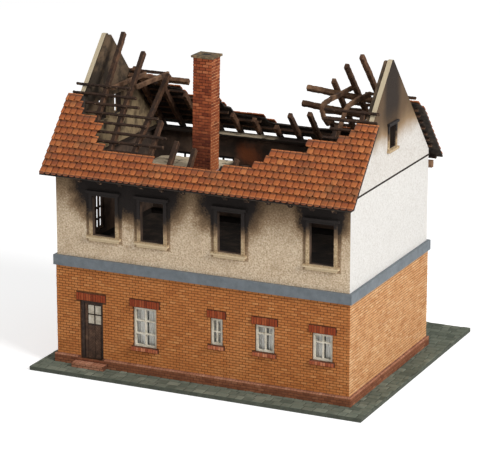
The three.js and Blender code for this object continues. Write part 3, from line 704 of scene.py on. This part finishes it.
def build_tiles(name, seed):
    face = slope_face(name)
    tree = mesh_tree(name)

    def covered(u, v):
        return tree.ray_cast(face.point(u, v, 5.0), -face.out, 7.0)[0] is not None

    rng = random.Random(seed)
    pieces = Pieces()
    low, high = box(name)
    length = max(abs(face.measure(low)[0]), abs(face.measure(high)[0]))
    columns = round(2 * length / TILE_WIDTH)
    wide = 2 * length / columns
    reach = max(face.measure(v.co * METRE)[1] for v in NODES[name].data.vertices)
    rows = math.ceil((reach - EAVE_ROW) / TILE_ROW)
    for row in range(rows):
        low_end = 0.0 if row == 0 else EAVE_ROW + TILE_ROW * row
        high_end = EAVE_ROW + TILE_ROW * (row + 1)
        shift = 0.5 if row % 2 else 0.0
        for column in range(columns + 1):
            a = max(-length + (column - shift) * wide, -length)
            b = min(-length + (column - shift + 1) * wide, length)
            if b - a < 0.6 or not covered((a + b) / 2, low_end * 0.45 + high_end * 0.55):
                continue
            lift = rng.uniform(-0.05, 0.05)
            tilt = rng.uniform(-0.06, 0.06)
            tile_shape(pieces, face, a + 0.11, b - 0.11, low_end + tilt, high_end, lift, rng)
    return pieces.make(f"{name}_rows", ROOF, "roof_tile", tile_material(f"{name}_clay", face))


def tile_material(name, face):
    """Clay tiles with a painted highlight on each lower rim and painted shadow where the next row lies over
    them.
    """
    s = Shader(name, 0.6, 0.4)
    colour = s.pick(
        s.island, (0.0, (134, 68, 32)), (0.2, (158, 81, 36)),
        (0.85, (174, 96, 46)), (1.0, (190, 114, 62)),
    )
    height = s.math("SUBTRACT", s.dot(s.position, face.up), face.origin.dot(face.up) + EAVE_ROW)
    place = s.math("FRACT", s.math("DIVIDE", height, TILE_ROW))
    # painted highlight: each tile's lower rim is lighter
    colour = s.lay((204, 128, 70), colour, place, 0.3, 0.06, 0.45)
    # painted shadow: each tile darkens under the lower end of the row above
    colour = s.lay((66, 36, 24), colour, place, 0.55, 0.95, 0.8)
    colour = s.lay((112, 74, 44), colour, s.noise(0.1, 4.0, 0.7), 0.48, 0.7, 0.6)
    grain = s.noise(3.2, 3.0)
    colour = s.lay((90, 50, 32), colour, grain, 0.5, 0.8, 0.35)
    return s.done(colour, grain, 0.08)


def build_sheets():
    """The boards under each slope's tiles: the CAD sheet made thinner, so that the tiles lie on it."""
    under = spotted("roof_board", (30, 27, 25), (50, 43, 38), (84, 72, 62), 1.4)
    for name, seed in (("tiles_front", 41), ("tiles_back", 42)):
        face = slope_face(name)
        mesh = NODES[name].data.copy()
        for vertex in mesh.vertices:
            if face.measure(vertex.co * METRE)[2] > -0.5:
                vertex.co -= face.out * (BOARD_DROP / METRE)
        place(f"{name}_boards", mesh, ROOF, "roof_tile", under)
        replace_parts(build_tiles(name, seed), name)


# ---- timber
VOXEL = 0.26
WEAR = 0.16


def worn_copy(name, body, material, seed):
    """A CAD timber with its edges worn and its faces uneven, as burnt wood is."""
    helper = linked("helper", NODES[name].data.copy())
    remesh = helper.modifiers.new("remesh", "REMESH")
    remesh.mode = "VOXEL"
    remesh.voxel_size = VOXEL / METRE
    remesh.use_smooth_shade = True
    bpy.context.view_layer.update()
    fine = bpy.data.meshes.new_from_object(helper.evaluated_get(bpy.context.evaluated_depsgraph_get()))
    bpy.data.objects.remove(helper)
    shift = Vector((seed * 17.3, seed * 5.1, 0.0))
    points = []
    for vertex, normal in zip(fine.vertices, [n.vector.copy() for n in fine.vertex_normals]):
        where = vertex.co * METRE
        coarse = noise.noise(where * 0.45 + shift)
        sharp = noise.noise(where * 1.5 + shift)
        points += list(vertex.co + normal * ((coarse * 0.7 + sharp * 0.6) * WEAR / METRE))
    fine.vertices.foreach_set("co", points)
    fine.update()
    piece = place(f"{name}_worn", fine, body, "charred_timber", material)
    fine.shade_smooth()
    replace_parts(piece, name)


def timber_material(name, dark, light, slope=None):
    """Burnt wood: dark, with a painted highlight that makes its edges paler. With a slope's face, the laths
    on top are nearly black.
    """
    s = Shader(name, 0.9, 0.2)
    tone = s.noise(0.22, 4.0, 0.7)
    colour = s.lay(light, dark, tone, 0.35, 0.7)
    char = s.noise(0.09, 3.0)
    colour = s.lay(SOOT, colour, char, 0.5, 0.75, 0.8)
    if slope is not None:
        level = s.math("SUBTRACT", s.dot(s.position, slope.out), slope.origin.dot(slope.out))
        colour = s.lay((34, 27, 24), colour, level, *LATHS, 0.75)
        foot = slope.origin.z
        colour = s.lay((34, 27, 24), colour, s.axes[2], foot + 5.0, foot + 2.0, 0.9)
    # painted highlight: edges, found by their pointiness, are made paler
    worn = s.node("ShaderNodeNewGeometry").outputs["Pointiness"]
    colour = s.lay((164, 132, 104), colour, worn, 0.53, 0.62, 0.55)
    grain = s.noise(2.5, 3.0)
    return s.done(colour, grain, 0.15)


def build_timber():
    brown = ((72, 50, 38), (120, 88, 66))
    front = timber_material("timber_front", *brown, slope_face("tiles_front"))
    back = timber_material("timber_back", *brown, slope_face("tiles_back"))
    loose = timber_material("timber_loose", (92, 66, 50), (140, 108, 82))
    for side in ("left", "right"):
        worn_copy(f"roof_frame_front_{side}", ROOF, front, 1)
        worn_copy(f"roof_frame_back_{side}", ROOF, back, 2)
    for name in ("purlin_left", "purlin_right_upper", "purlin_right_lower"):
        worn_copy(name, ROOF, loose, 3)
    for name in ("collar_left_outer", "collar_left_inner", "bent_collar_inner", "bent_collar_outer"):
        worn_copy(name, ROOF, loose, 4)
    worn_copy("eaves_beam_back", HOUSE, loose, 5)


# ---- plaster, surrounds and gables
def soot_tone(s, base, amount):
    """From clean to black through a brown haze."""
    haze = s.lay((160, 134, 104), base, amount, 0.0, 0.5)
    deep = s.lay((104, 84, 64), haze, amount, 0.3, 0.8)
    return s.lay((38, 33, 31), deep, amount, 0.7, 1.25)


def window_soot(s, along, height, centre, top, half, reach, depth):
    """How sooty a wall is over and beside one window."""
    beside = s.smooth(s.apart(along, centre), half + reach, half - 1.0)
    above = s.smooth(height, top - depth, top + 1.0)
    return s.multiply(beside, above)


def outline_shade(s, along, height, centre, top, half, tall):
    """A thin line of painted shade round a window's surround."""
    beside = s.math("SUBTRACT", s.apart(along, centre), half)
    beyond = s.math("SUBTRACT", s.apart(height, top - tall / 2), tall / 2)
    return s.smooth(s.math("MAXIMUM", beside, beyond), 1.1, 0.1, 0.42)


def stucco(s, dark, tone, light, strength=1.0):
    """The wall's own colour: a coarse grain over slow patches of wear."""
    speckle = s.noise(1.5, 3.0, 0.75)
    base = s.pick(speckle, (0.32, dark), (0.5, tone), (0.68, light))
    patch = s.noise(0.14, 4.0, 0.7)
    return s.lay(dark, base, patch, 0.48, 0.7, 0.35 * strength), speckle


CREAM = ((173, 146, 115), (217, 194, 164), (240, 225, 201))


def plaster_material(name, node, outward, windows, eave, tones, strength, trim_height):
    """Rough plaster with soot over its windows, darker towards the top, a thin painted shade round each
    surround, and burnt inside, with a painted pool of orange light inside the front and back walls.
    """
    s = Shader(name, 0.92, 0.2)
    base, speckle = stucco(s, *tones, strength)
    x, y, z = s.axes
    low, high = box(node)
    across = abs(outward.y) > 0.5
    along = x if across else y
    middle = (low + high) / 2
    end = (high.x - low.x if across else high.y - low.y) / 2 - 0.05
    off = s.apart(along, middle.x if across else middle.y)
    warp = s.waver(0.14, 4.0, 0.7)
    moved = s.add(along, s.multiply(warp, 9.0))
    lift = s.add(z, s.multiply(warp, 9.0))
    # darker towards the top of the wall, by the share eave
    amount = s.smooth(lift, high.z - 25.0, high.z - 1.0, eave)
    for centre, top, half, share in windows:
        amount = s.add(amount, window_soot(s, moved, lift, centre, top, half, 10.0 * share, 19.0 * share))
        # painted shade: a thin dark line round each surround
        amount = s.add(amount, outline_shade(s, along, z, centre, top, half, trim_height))
    grain = s.multiply(s.math("SUBTRACT", speckle, 0.5), s.smooth(amount, 0.0, 0.4, -0.7))
    colour = soot_tone(s, base, s.add(amount, grain))
    inner = s.lay((116, 94, 79), (72, 60, 52), s.noise(0.1, 3.0), 0.4, 0.7)
    if across:
        colour = s.mix(s.facing(X), colour, (226, 223, 218))
        # painted light: an orange pool of light on the inner face, where light falls in
        beside = s.smooth(s.apart(moved, middle.x + LIT_PATCH[0]), 8.0, 2.0)
        below = s.smooth(s.apart(lift, high.z + LIT_PATCH[1]), 6.0, 1.5)
        lit_patch = s.multiply(beside, below)
        inner = s.mix(lit_patch, inner, (164, 96, 62))
    outside = s.math("MAXIMUM", s.facing(outward), s.math("GREATER_THAN", off, end))
    colour = s.mix(outside, inner, colour)
    return s.done(colour, s.noise(2.2, 3.0, 0.7), 0.25)


def build_plaster():
    windows = []
    for i in range(1, 5):
        low, high = box(f"upper_surround_{i}")
        windows.append(((low.x + high.x) / 2, high.z, (high.x - low.x) / 2, 0.6 if i == 4 else 1.0))
    low, high = box("side_casement")
    side = [((low.y + high.y) / 2, high.z + 1.0, (high.y - low.y) / 2 + 1.0, 1.0)]
    back = [((x0 + x1) / 2, z1 + 1.0, (x1 - x0) / 2, 1.0) for x0, x1, _, z1 in back_openings()]
    pale = ((208, 204, 197), (226, 223, 218), (234, 232, 228))
    surround = box("upper_surround_1")
    trim_height = surround[1].z - surround[0].z
    walls = {
        "front": (-Y, windows, 0.6, CREAM, 1.0),
        "back": (Y, back, 0.55, CREAM, 1.0),
        "left": (-X, side, 0.35, CREAM, 1.0),
        "right": (X, [], 0.03, pale, 0.4),
    }
    for name, (outward, openings, eave, tones, strength) in walls.items():
        node = f"plaster_wall_{name}"
        material = plaster_material(
            f"plaster_{name}", node, outward, openings, eave, tones, strength, trim_height
        )
        finish_node(node, material)


def back_openings():
    """The openings in the back upper wall as (x0, x1, z0, z1), measured from its mesh."""
    low, high = box("plaster_wall_back")
    tree = mesh_tree("plaster_wall_back")

    def runs(steps, point):
        """The stretches of a line of steps where the wall is open at each step's point."""
        found = []
        start = None
        for step in steps:
            blocked = tree.ray_cast(Vector(point(step)), -Y, 20)[0] is not None
            if not blocked and start is None:
                start = step
            if blocked and start is not None:
                found.append((start, step))
                start = None
        return found

    front_low, front_high = box("upper_surround_1")
    middle = (front_low.z + front_high.z) / 2
    xs = [low.x + 1.0 + 0.1 * k for k in range(int((high.x - low.x - 2.0) * 10))]
    openings = []
    zs = [low.z + 1.0 + 0.1 * k for k in range(int((high.z - low.z - 1.5) * 10))]
    for x0, x1 in runs(xs, lambda x: (x, high.y + 5, middle)):
        z0, z1 = runs(zs, lambda z: ((x0 + x1) / 2, high.y + 5, z))[0]
        openings.append((x0, x1, z0, z1))
    return openings


def trim_material(name, top, bottom, clean=0.2):
    """Cream mouldings whose upper part is black with soot; clean is the share of the height left pale."""
    s = Shader(name, 0.85, 0.25)
    grain = s.noise(1.6, 3.0, 0.7)
    base = s.pick(grain, (0.3, (142, 118, 88)), (0.5, (186, 161, 126)), (0.7, (216, 195, 160)))
    z = s.axes[2]
    warp = s.multiply(s.waver(0.35, 3.0), 8.0)
    tall = top - bottom
    base = s.lay((232, 212, 176), base, z, bottom + 1.8, bottom + 1.4, 0.65)
    amount = s.smooth(s.add(z, warp), bottom + tall * clean, bottom + tall * (clean + 0.55), 1.3)
    return s.done(soot_tone(s, base, amount), grain, 0.12)


GABLE_SURROUNDS = {
    "left": ("gable_surround_left_front", "gable_surround_left_back"),
    "right": ("gable_surround_right",),
}


def build_trim():
    low, high = box("upper_surround_1")
    for i, clean in enumerate((0.15, 0.12, 0.25, 0.42), start=1):
        finish_node(f"upper_surround_{i}", trim_material(f"moulded_trim_{i}", high.z, low.z, clean), 0.14)
    low, high = box("gable_surround_right")
    gable = trim_material("gable_trim", high.z + 1.0, low.z - 2.0)
    for surround in GABLE_SURROUNDS["left"] + GABLE_SURROUNDS["right"]:
        finish_node(surround, gable, 0.12)
    finish_node("string_course", band_material(), 0.25)


def band_material():
    """The slate-grey band, blackened where it shows inside the burnt rooms."""
    s = Shader("slate_band", 0.7, 0.3)
    low, high = box("plaster_wall_front", "plaster_wall_back")
    colour = s.pick(s.noise(0.3, 3.0), (0.3, (104, 111, 116)), (0.7, (122, 129, 134)))
    fine = s.noise(5.0, 2.0)
    colour = s.lay((84, 90, 94), colour, fine, 0.5, 0.8, 0.3)
    inset = Vector((0.5, 0.5, 0.0))
    colour = s.mix(s.within(low + inset, high - inset), colour, (40, 34, 30))
    return s.done(colour, fine, 0.05)


def gable_material(name, outward, surrounds, tones):
    """Plaster that blackens towards the apex and over its windows."""
    s = Shader(name, 0.92, 0.2)
    base = stucco(s, *tones, 0.6)[0]
    y, z = s.axes[1:]
    low, high = box(name)
    warp = s.waver(0.08, 3.0, 0.6)
    lift = s.add(z, s.multiply(warp, 8.0))
    amount = s.smooth(lift, low.z + 8.0, high.z - 17.0, 0.84)
    along = s.add(y, s.multiply(warp, 5.0))
    edge = (206, 190, 160)
    for surround in surrounds:
        foot, head = box(surround)
        centre = (foot + head) / 2
        reach = (head - foot) / 2
        stain = window_soot(s, along, lift, centre.y, head.z, reach.y, 6.0, 7.0)
        amount = s.add(amount, s.multiply(stain, 0.3))
        beside = s.math("LESS_THAN", s.apart(y, centre.y), reach.y)
        level = s.math("LESS_THAN", s.apart(z, centre.z), reach.z)
        edge = s.mix(s.multiply(beside, level), edge, (48, 38, 32))
    colour = soot_tone(s, base, amount)
    inner = s.lay((62, 48, 40), (34, 28, 25), s.noise(0.1, 3.0), 0.4, 0.7)
    colour = s.mix(s.facing(outward), s.mix(s.facing(-outward), edge, inner), colour)
    return s.done(colour, s.noise(2.2, 3.0, 0.7), 0.3)


def build_gables():
    pale = ((198, 190, 180), (222, 217, 210), (231, 228, 223))
    for side, outward, tones in (("right", X, pale), ("left", -X, CREAM)):
        finish_node(f"gable_{side}", gable_material(f"gable_{side}", outward, GABLE_SURROUNDS[side], tones))
    s = Shader("gable_lining", 0.92, 0.2)
    colour = s.lay((112, 92, 72), (60, 51, 42), s.noise(0.1, 4.0, 0.7), 0.4, 0.62)
    z = s.axes[2]
    floor = box("gable_lining_left")[0].z
    # paler patches near the floor: partly paint less sooted there, partly painted light that falls in from
    # the right
    low_part = s.multiply(s.smooth(z, floor + 20.0, floor + 12.0), s.smooth(s.noise(0.15, 3.0), 0.3, 0.6))
    colour = s.mix(s.multiply(low_part, 0.7), colour, (186, 162, 124))
    lining = s.done(colour, s.noise(1.5, 3.0), 0.2)
    for side in ("right", "left"):
        finish_node(f"gable_lining_{side}", lining)


# ---- floors
def build_floors():
    s = Shader("attic_boards", 0.9, 0.2)
    x = s.axes[0]
    streaks = s.noise(0.5, 4.0, 0.7, (0.3, 2.0, 1.0))
    base = s.pick(streaks, (0.3, (158, 138, 112)), (0.5, (208, 190, 160)), (0.7, (232, 218, 192)))
    burnt = s.noise(0.2, 4.0, 0.7)
    colour = s.lay((44, 36, 31), base, burnt, 0.52, 0.62, 0.85)
    stack_low, stack_high = box("chimney_stack")
    right = s.smooth(x, stack_high.x - 3.0, stack_high.x + 0.5)
    left = s.smooth(x, stack_low.x - 26.0, stack_low.x - 30.0)
    colour = s.mix(s.math("MAXIMUM", right, left), colour, (48, 37, 31))
    colour = s.mix(s.facing(Z), (44, 36, 30), colour)
    finish_node("attic_floor", s.done(colour, s.noise(1.8, 3.0), 0.15))
    finish_node("first_floor", spotted("burnt_floor", (34, 30, 28), (54, 46, 40), (84, 70, 60), 0.6))


def beam(pieces, start, end, wide, deep, turn=0.0):
    """A straight stick with square ends between two points."""
    axis = (end - start).normalized()
    side = axis.cross(Z).normalized()
    side = Matrix.Rotation(turn, 3, axis) @ side
    rise = side.cross(axis)
    corners = [(-wide, -deep), (wide, -deep), (wide, deep), (-wide, deep)]
    low = [start + side * (a / 2) + rise * (b / 2) for a, b in corners]
    high = [end + side * (a / 2) + rise * (b / 2) for a, b in corners]
    pieces.loft(high, low)


def build_debris():
    """Fallen plaster and sticks on the boards around the chimney's foot."""
    floor = box("attic_floor")[1].z
    foot_low, foot_high = box("chimney_stack")
    rng = random.Random(14)
    rubble = Pieces()
    for _ in range(26):
        x = foot_high.x + rng.uniform(-1.6, 4.5)
        y = foot_low.y + rng.uniform(-4.5, 2.0)
        size = rng.uniform(0.7, 1.9)
        face = Face((x, y, floor), X, Y)
        rubble.brick(face, 0, size, 0, size * rng.uniform(0.7, 1.2), 0.0, size * rng.uniform(0.5, 1.0), 0.2)
    stone = spotted("rubble", (70, 60, 50), (104, 90, 76), (140, 124, 106), 2.0)
    rubble.make("fallen_rubble", ROOF, "charred_timber", stone)
    sticks = Pieces()
    near = Vector((foot_high.x + 0.8, foot_low.y - 3.0, floor + 0.5))
    beam(sticks, near, near + Vector((4.5, 3.0, 3.4)), 0.7, 0.5, 0.4)
    pink = spotted("fallen_lath", (150, 104, 92), (196, 150, 136), (222, 184, 170), 1.5)
    sticks.make("fallen_stick", ROOF, "floor_boards", pink)


def build_burnt_casements():
    """What is left of the two casements in the back wall of the upper storey."""
    wood = spotted("burnt_casement", (22, 19, 18), (34, 29, 26), (52, 44, 38))
    outside = box("plaster_wall_back")[1].y
    pieces = Pieces()
    for u0, u1, v0, v1 in back_openings():
        face = Face((u1, outside - 1.0, v0), -X, Z)
        wide, tall = u1 - u0, v1 - v0
        foot, head = CASEMENT_FOOT, tall - CASEMENT_RAIL
        left, right = CASEMENT_STILE, wide - CASEMENT_STILE
        for a, b, c, d in (
            (0.0, wide, head, tall), (0.0, wide, 0.0, foot), (0.0, left, foot, head),
            (right, wide, foot, head), (wide / 2 - 0.35, wide / 2 + 0.35, foot, head),
            (left, right, tall * 0.66 - 0.3, tall * 0.66 + 0.3),
        ):
            pieces.brick(face, a, b, c, d, -0.8, 0.0, 0.1)
    pieces.make("burnt_casements", HOUSE, "charred_timber", wood)


# ---- chimney
def chimney_mortar():
    """Mortar that is pale, a painted light, on the side of the stack facing +X, and dark round the rest."""
    s = Shader("chimney_mortar", 0.9, 0.2)
    blotch = s.smooth(s.noise(0.8, 3.0), 0.35, 0.65)
    dark = s.mix(blotch, (60, 30, 22), (96, 54, 38))
    pale = s.mix(blotch, (178, 110, 70), (232, 178, 128))
    # painted light: the pale mortar goes on the side facing +X, the lit side
    return s.done(s.mix(s.facing(X), dark, pale))


def cap_material():
    """A grey slab browned by smoke, with the flue's mouth as a black patch on its top: soot, and painted
    shade where the hole is.
    """
    s = Shader("cap_stone", 0.9, 0.2)
    low, high = box("chimney_cap")
    smoke = s.noise(0.5, 3.0, 0.7)
    colour = s.pick(smoke, (0.35, (78, 72, 60)), (0.5, (104, 90, 70)), (0.65, (150, 122, 90)))
    # the flue's mouth: a black patch on the top face, soot and painted shade of the hole
    rim = Vector((3.2, 3.2, 0.0))
    mouth = s.multiply(s.within(low + rim, high - rim), s.facing(Z))
    return s.done(s.mix(mouth, colour, (34, 29, 26)), s.noise(1.8, 3.0), 0.2)


def chimney_material(foot):
    """Dark bricks; soot darkens the lower part, except on the sunlit side facing +X, which has painted
    orange light there instead.
    """
    s = Shader("chimney_brick", 0.85, 0.25)
    colour = s.pick(
        s.island, (0.0, (112, 50, 28)), (0.4, (146, 72, 42)), (0.8, (166, 86, 50)), (1.0, (188, 112, 72)),
    )
    height = s.add(s.axes[2], s.multiply(s.waver(0.2, 3.0), 14.0))
    soot = s.smooth(height, foot + 26.0, foot + 2.0, 0.7)
    # the side facing +X is the lit side: it is kept free of soot and carries painted light
    clean = s.facing(X)
    colour = s.mix(s.multiply(soot, s.math("SUBTRACT", 1.0, clean)), colour, (62, 30, 26))
    # painted light: an orange glow in the lit side's lower part
    glow = s.multiply(soot, s.smooth(s.noise(0.4, 3.0), 0.3, 0.7, 0.9, 0.3))
    colour = s.mix(s.multiply(clean, glow), colour, (214, 122, 70))
    # painted light: the whole lit side muted a fifth towards brown
    colour = s.mix(s.multiply(clean, 0.2), colour, (84, 60, 42))
    grain = s.noise(3.5, 3.0)
    colour = s.lay((86, 36, 24), colour, grain, 0.5, 0.8, 0.35)
    return s.done(colour, grain, 0.06)


def build_chimney():
    mesh = NODES["chimney_stack"].data
    corners = sorted({tuple(round(c, 7) for c in v.co) for v in mesh.vertices}, key=lambda c: c[2])
    foot = [Vector(c) * METRE for c in corners[:4]]
    head = [Vector(c) * METRE for c in corners[-4:]]

    def corner(group, sx, sy):
        return min(group, key=lambda p: sx * p.x + sy * p.y)

    front_left = corner(foot, 1, 1)
    up = corner(head, 1, 1) - front_left
    along = corner(foot, -1, 1) - front_left
    inward = corner(foot, 1, -1) - front_left
    sides = (
        (front_left, along), (corner(foot, -1, 1), inward),
        (corner(foot, -1, -1), -along), (corner(foot, 1, -1), -inward),
    )
    rng = random.Random(77)
    pieces = Pieces()
    sizes = {"course": 1.22, "brick": 2.67, "proud": 0.2}
    for start, edge in sides:
        brick_courses(pieces, Face(start, edge, up), edge.length, 0.0, up.length, [], rng, **sizes)
    pieces.make("chimney_bricks", ROOF, "chimney_brick", chimney_material(foot[0].z))
    finish_node("chimney_stack", chimney_mortar())
    finish_node("chimney_cap", cap_material(), 0.15)


# ---- doors and windows
def clip(polygon, u0, u1, v0, v1):
    """The part of a polygon that is inside a rectangle, or nothing."""
    for axis, limit, sign in ((0, u0, 1), (0, u1, -1), (1, v0, 1), (1, v1, -1)):
        kept = []
        for i, here in enumerate(polygon):
            before = polygon[i - 1]
            inside = sign * (here[axis] - limit) >= 0
            if inside != (sign * (before[axis] - limit) >= 0):
                t = (limit - before[axis]) / (here[axis] - before[axis])
                kept.append(tuple(b + (h - b) * t for b, h in zip(before, here)))
            if inside:
                kept.append(here)
        polygon = kept
        if len(polygon) < 3:
            return []
    return polygon


def build_door():
    low, high = box("door_leaf")
    face = Face(low, X, Z)
    width = high.x - low.x
    height = high.z - low.z
    boards = Pieces()
    panel_top = height * 0.62
    margin = 0.4
    board_step = 1.2
    board_wide = 1.05
    side_board = width * 0.2
    rng = random.Random(9)
    middle = (side_board + width) / 2
    boards.brick(face, 0.2, side_board - 0.25, margin, height - margin, -0.02, 0.22, 0.08)
    for slant, u0, u1 in ((1, side_board, middle - 0.12), (-1, middle + 0.12, width - margin)):
        start = -10.0
        while start < panel_top + 10:
            near = start - slant
            far = start + slant * (u1 - u0 + 1)
            strip = [(u0 - 1, near), (u1 + 1, far), (u1 + 1, far + board_wide), (u0 - 1, near + board_wide)]
            clipped = clip(strip, u0, u1, margin, panel_top - 0.4)
            start += board_step
            if not clipped:
                continue
            out = rng.uniform(0.14, 0.24)
            base = [face.point(u, v, -0.02) for u, v in clipped]
            boards.loft(base, [face.point(u, v, out) for u, v in clipped])
    glass = Pieces()
    pane_low = panel_top + 0.4
    pane_high = height - 0.9
    pane_wide = (width - margin - side_board - 0.6) / 2
    pane_tall = (pane_high - pane_low - 0.6) / 2
    for column, row in itertools.product((0, 1), repeat=2):
        u0 = side_board + 0.1 + column * (pane_wide + 0.6)
        v0 = pane_low + row * (pane_tall + 0.6)
        glass.brick(face, u0, u0 + pane_wide, v0, v0 + pane_tall, -0.02, 0.1, 0.05)
    panes = spotted("door_panes", (150, 140, 122), (196, 186, 166), (226, 218, 202), 1.6, 0.3)
    glass.make("door_panes", HOUSE, "door_brown", panes)
    wood = spotted("door_wood", (50, 36, 28), (80, 58, 44), (108, 82, 64), 1.5, 0.75)
    boards.make("door_boards", HOUSE, "door_brown", wood)
    frame_wood = spotted("door_frame_wood", (34, 25, 21), (56, 42, 34), (80, 62, 50), 1.5, 0.75)
    finish_node("door_leaf", frame_wood)
    finish_node("door_frame", frame_wood, 0.12)


def build_windows():
    white = spotted("window_white", (186, 176, 152), (224, 216, 198), (236, 230, 214), 1.2, 0.6)
    for name in [f"window_frame_{i}" for i in range(1, 5)] + ["back_window_frame"]:
        finish_node(name, white, 0.1)
    finish_node("side_casement", timber_material("casement_wood", (40, 30, 26), (84, 66, 54)))
    glass = Shader("glazing", 0.08, 0.5)
    glass.surface.inputs["Transmission Weight"].default_value = 1.0
    glass.surface.inputs["IOR"].default_value = 1.45
    glass.surface.inputs["Alpha"].default_value = 0.15
    wave = glass.noise(0.3, 2.0)
    colour = glass.mix(wave, (200, 206, 206), (228, 232, 230))
    finish_node("window_glazing", glass.done(colour))
    build_curtains()


def build_curtains():
    """Two gathered white curtains behind each front window, over a dark room."""
    strip_low, strip_high = box("curtain_strip")
    thickness = 0.12
    rng = random.Random(31)
    cloth = Pieces()
    for i in range(1, 5):
        low, high = box(f"window_frame_{i}")
        middle = (low.x + high.x) / 2
        gap = 0.12 if high.x - low.x < 7 else 0.3
        for x0, x1 in ((low.x - 0.4, middle - gap), (middle + gap, high.x + 0.4)):
            phase = rng.uniform(0, WAVE)
            folds = (x1 - x0) / 1.25
            front = []
            for k in range(CURTAIN_STEPS + 1):
                x = x0 + (x1 - x0) * k / CURTAIN_STEPS
                y = strip_low.y + 0.35 + 0.24 * math.sin(phase + folds * WAVE * k / CURTAIN_STEPS)
                front.append((x, y))
            outline = front + [(x, y + thickness) for x, y in reversed(front)]
            cloth.loft(*([(x, y, z) for x, y in outline] for z in (low.z - 0.4, high.z + 0.4)))
    s = Shader("curtain", 0.95, 0.1)
    tone = s.noise(0.9, 2.0, 0.5, (1.0, 1.0, 0.15))
    curtain = s.done(s.lay((250, 249, 245), (230, 228, 222), tone, 0.35, 0.7))
    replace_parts(cloth.make("curtains", HOUSE, "curtain_paper", curtain), "curtain_strip")
    room = spotted("dark_room", (26, 24, 23), (38, 35, 33), (52, 48, 45))
    sheet = Pieces()
    face = Face((strip_low.x, strip_high.y + 0.6, strip_low.z), X, Z)
    sheet.brick(face, 0, strip_high.x - strip_low.x, 0, strip_high.z - strip_low.z, 0.0, 0.2, 0.05)
    sheet.make("room_card", HOUSE, "curtain_paper", room)


# ---- build everything
build_stage()
build_paving()
build_plinth()
build_brick_walls()
build_lintels_and_sills()
build_plaster()
build_trim()
build_gables()
build_floors()
build_sheets()
build_timber()
build_chimney()
build_debris()
build_burnt_casements()
build_door()
build_windows()
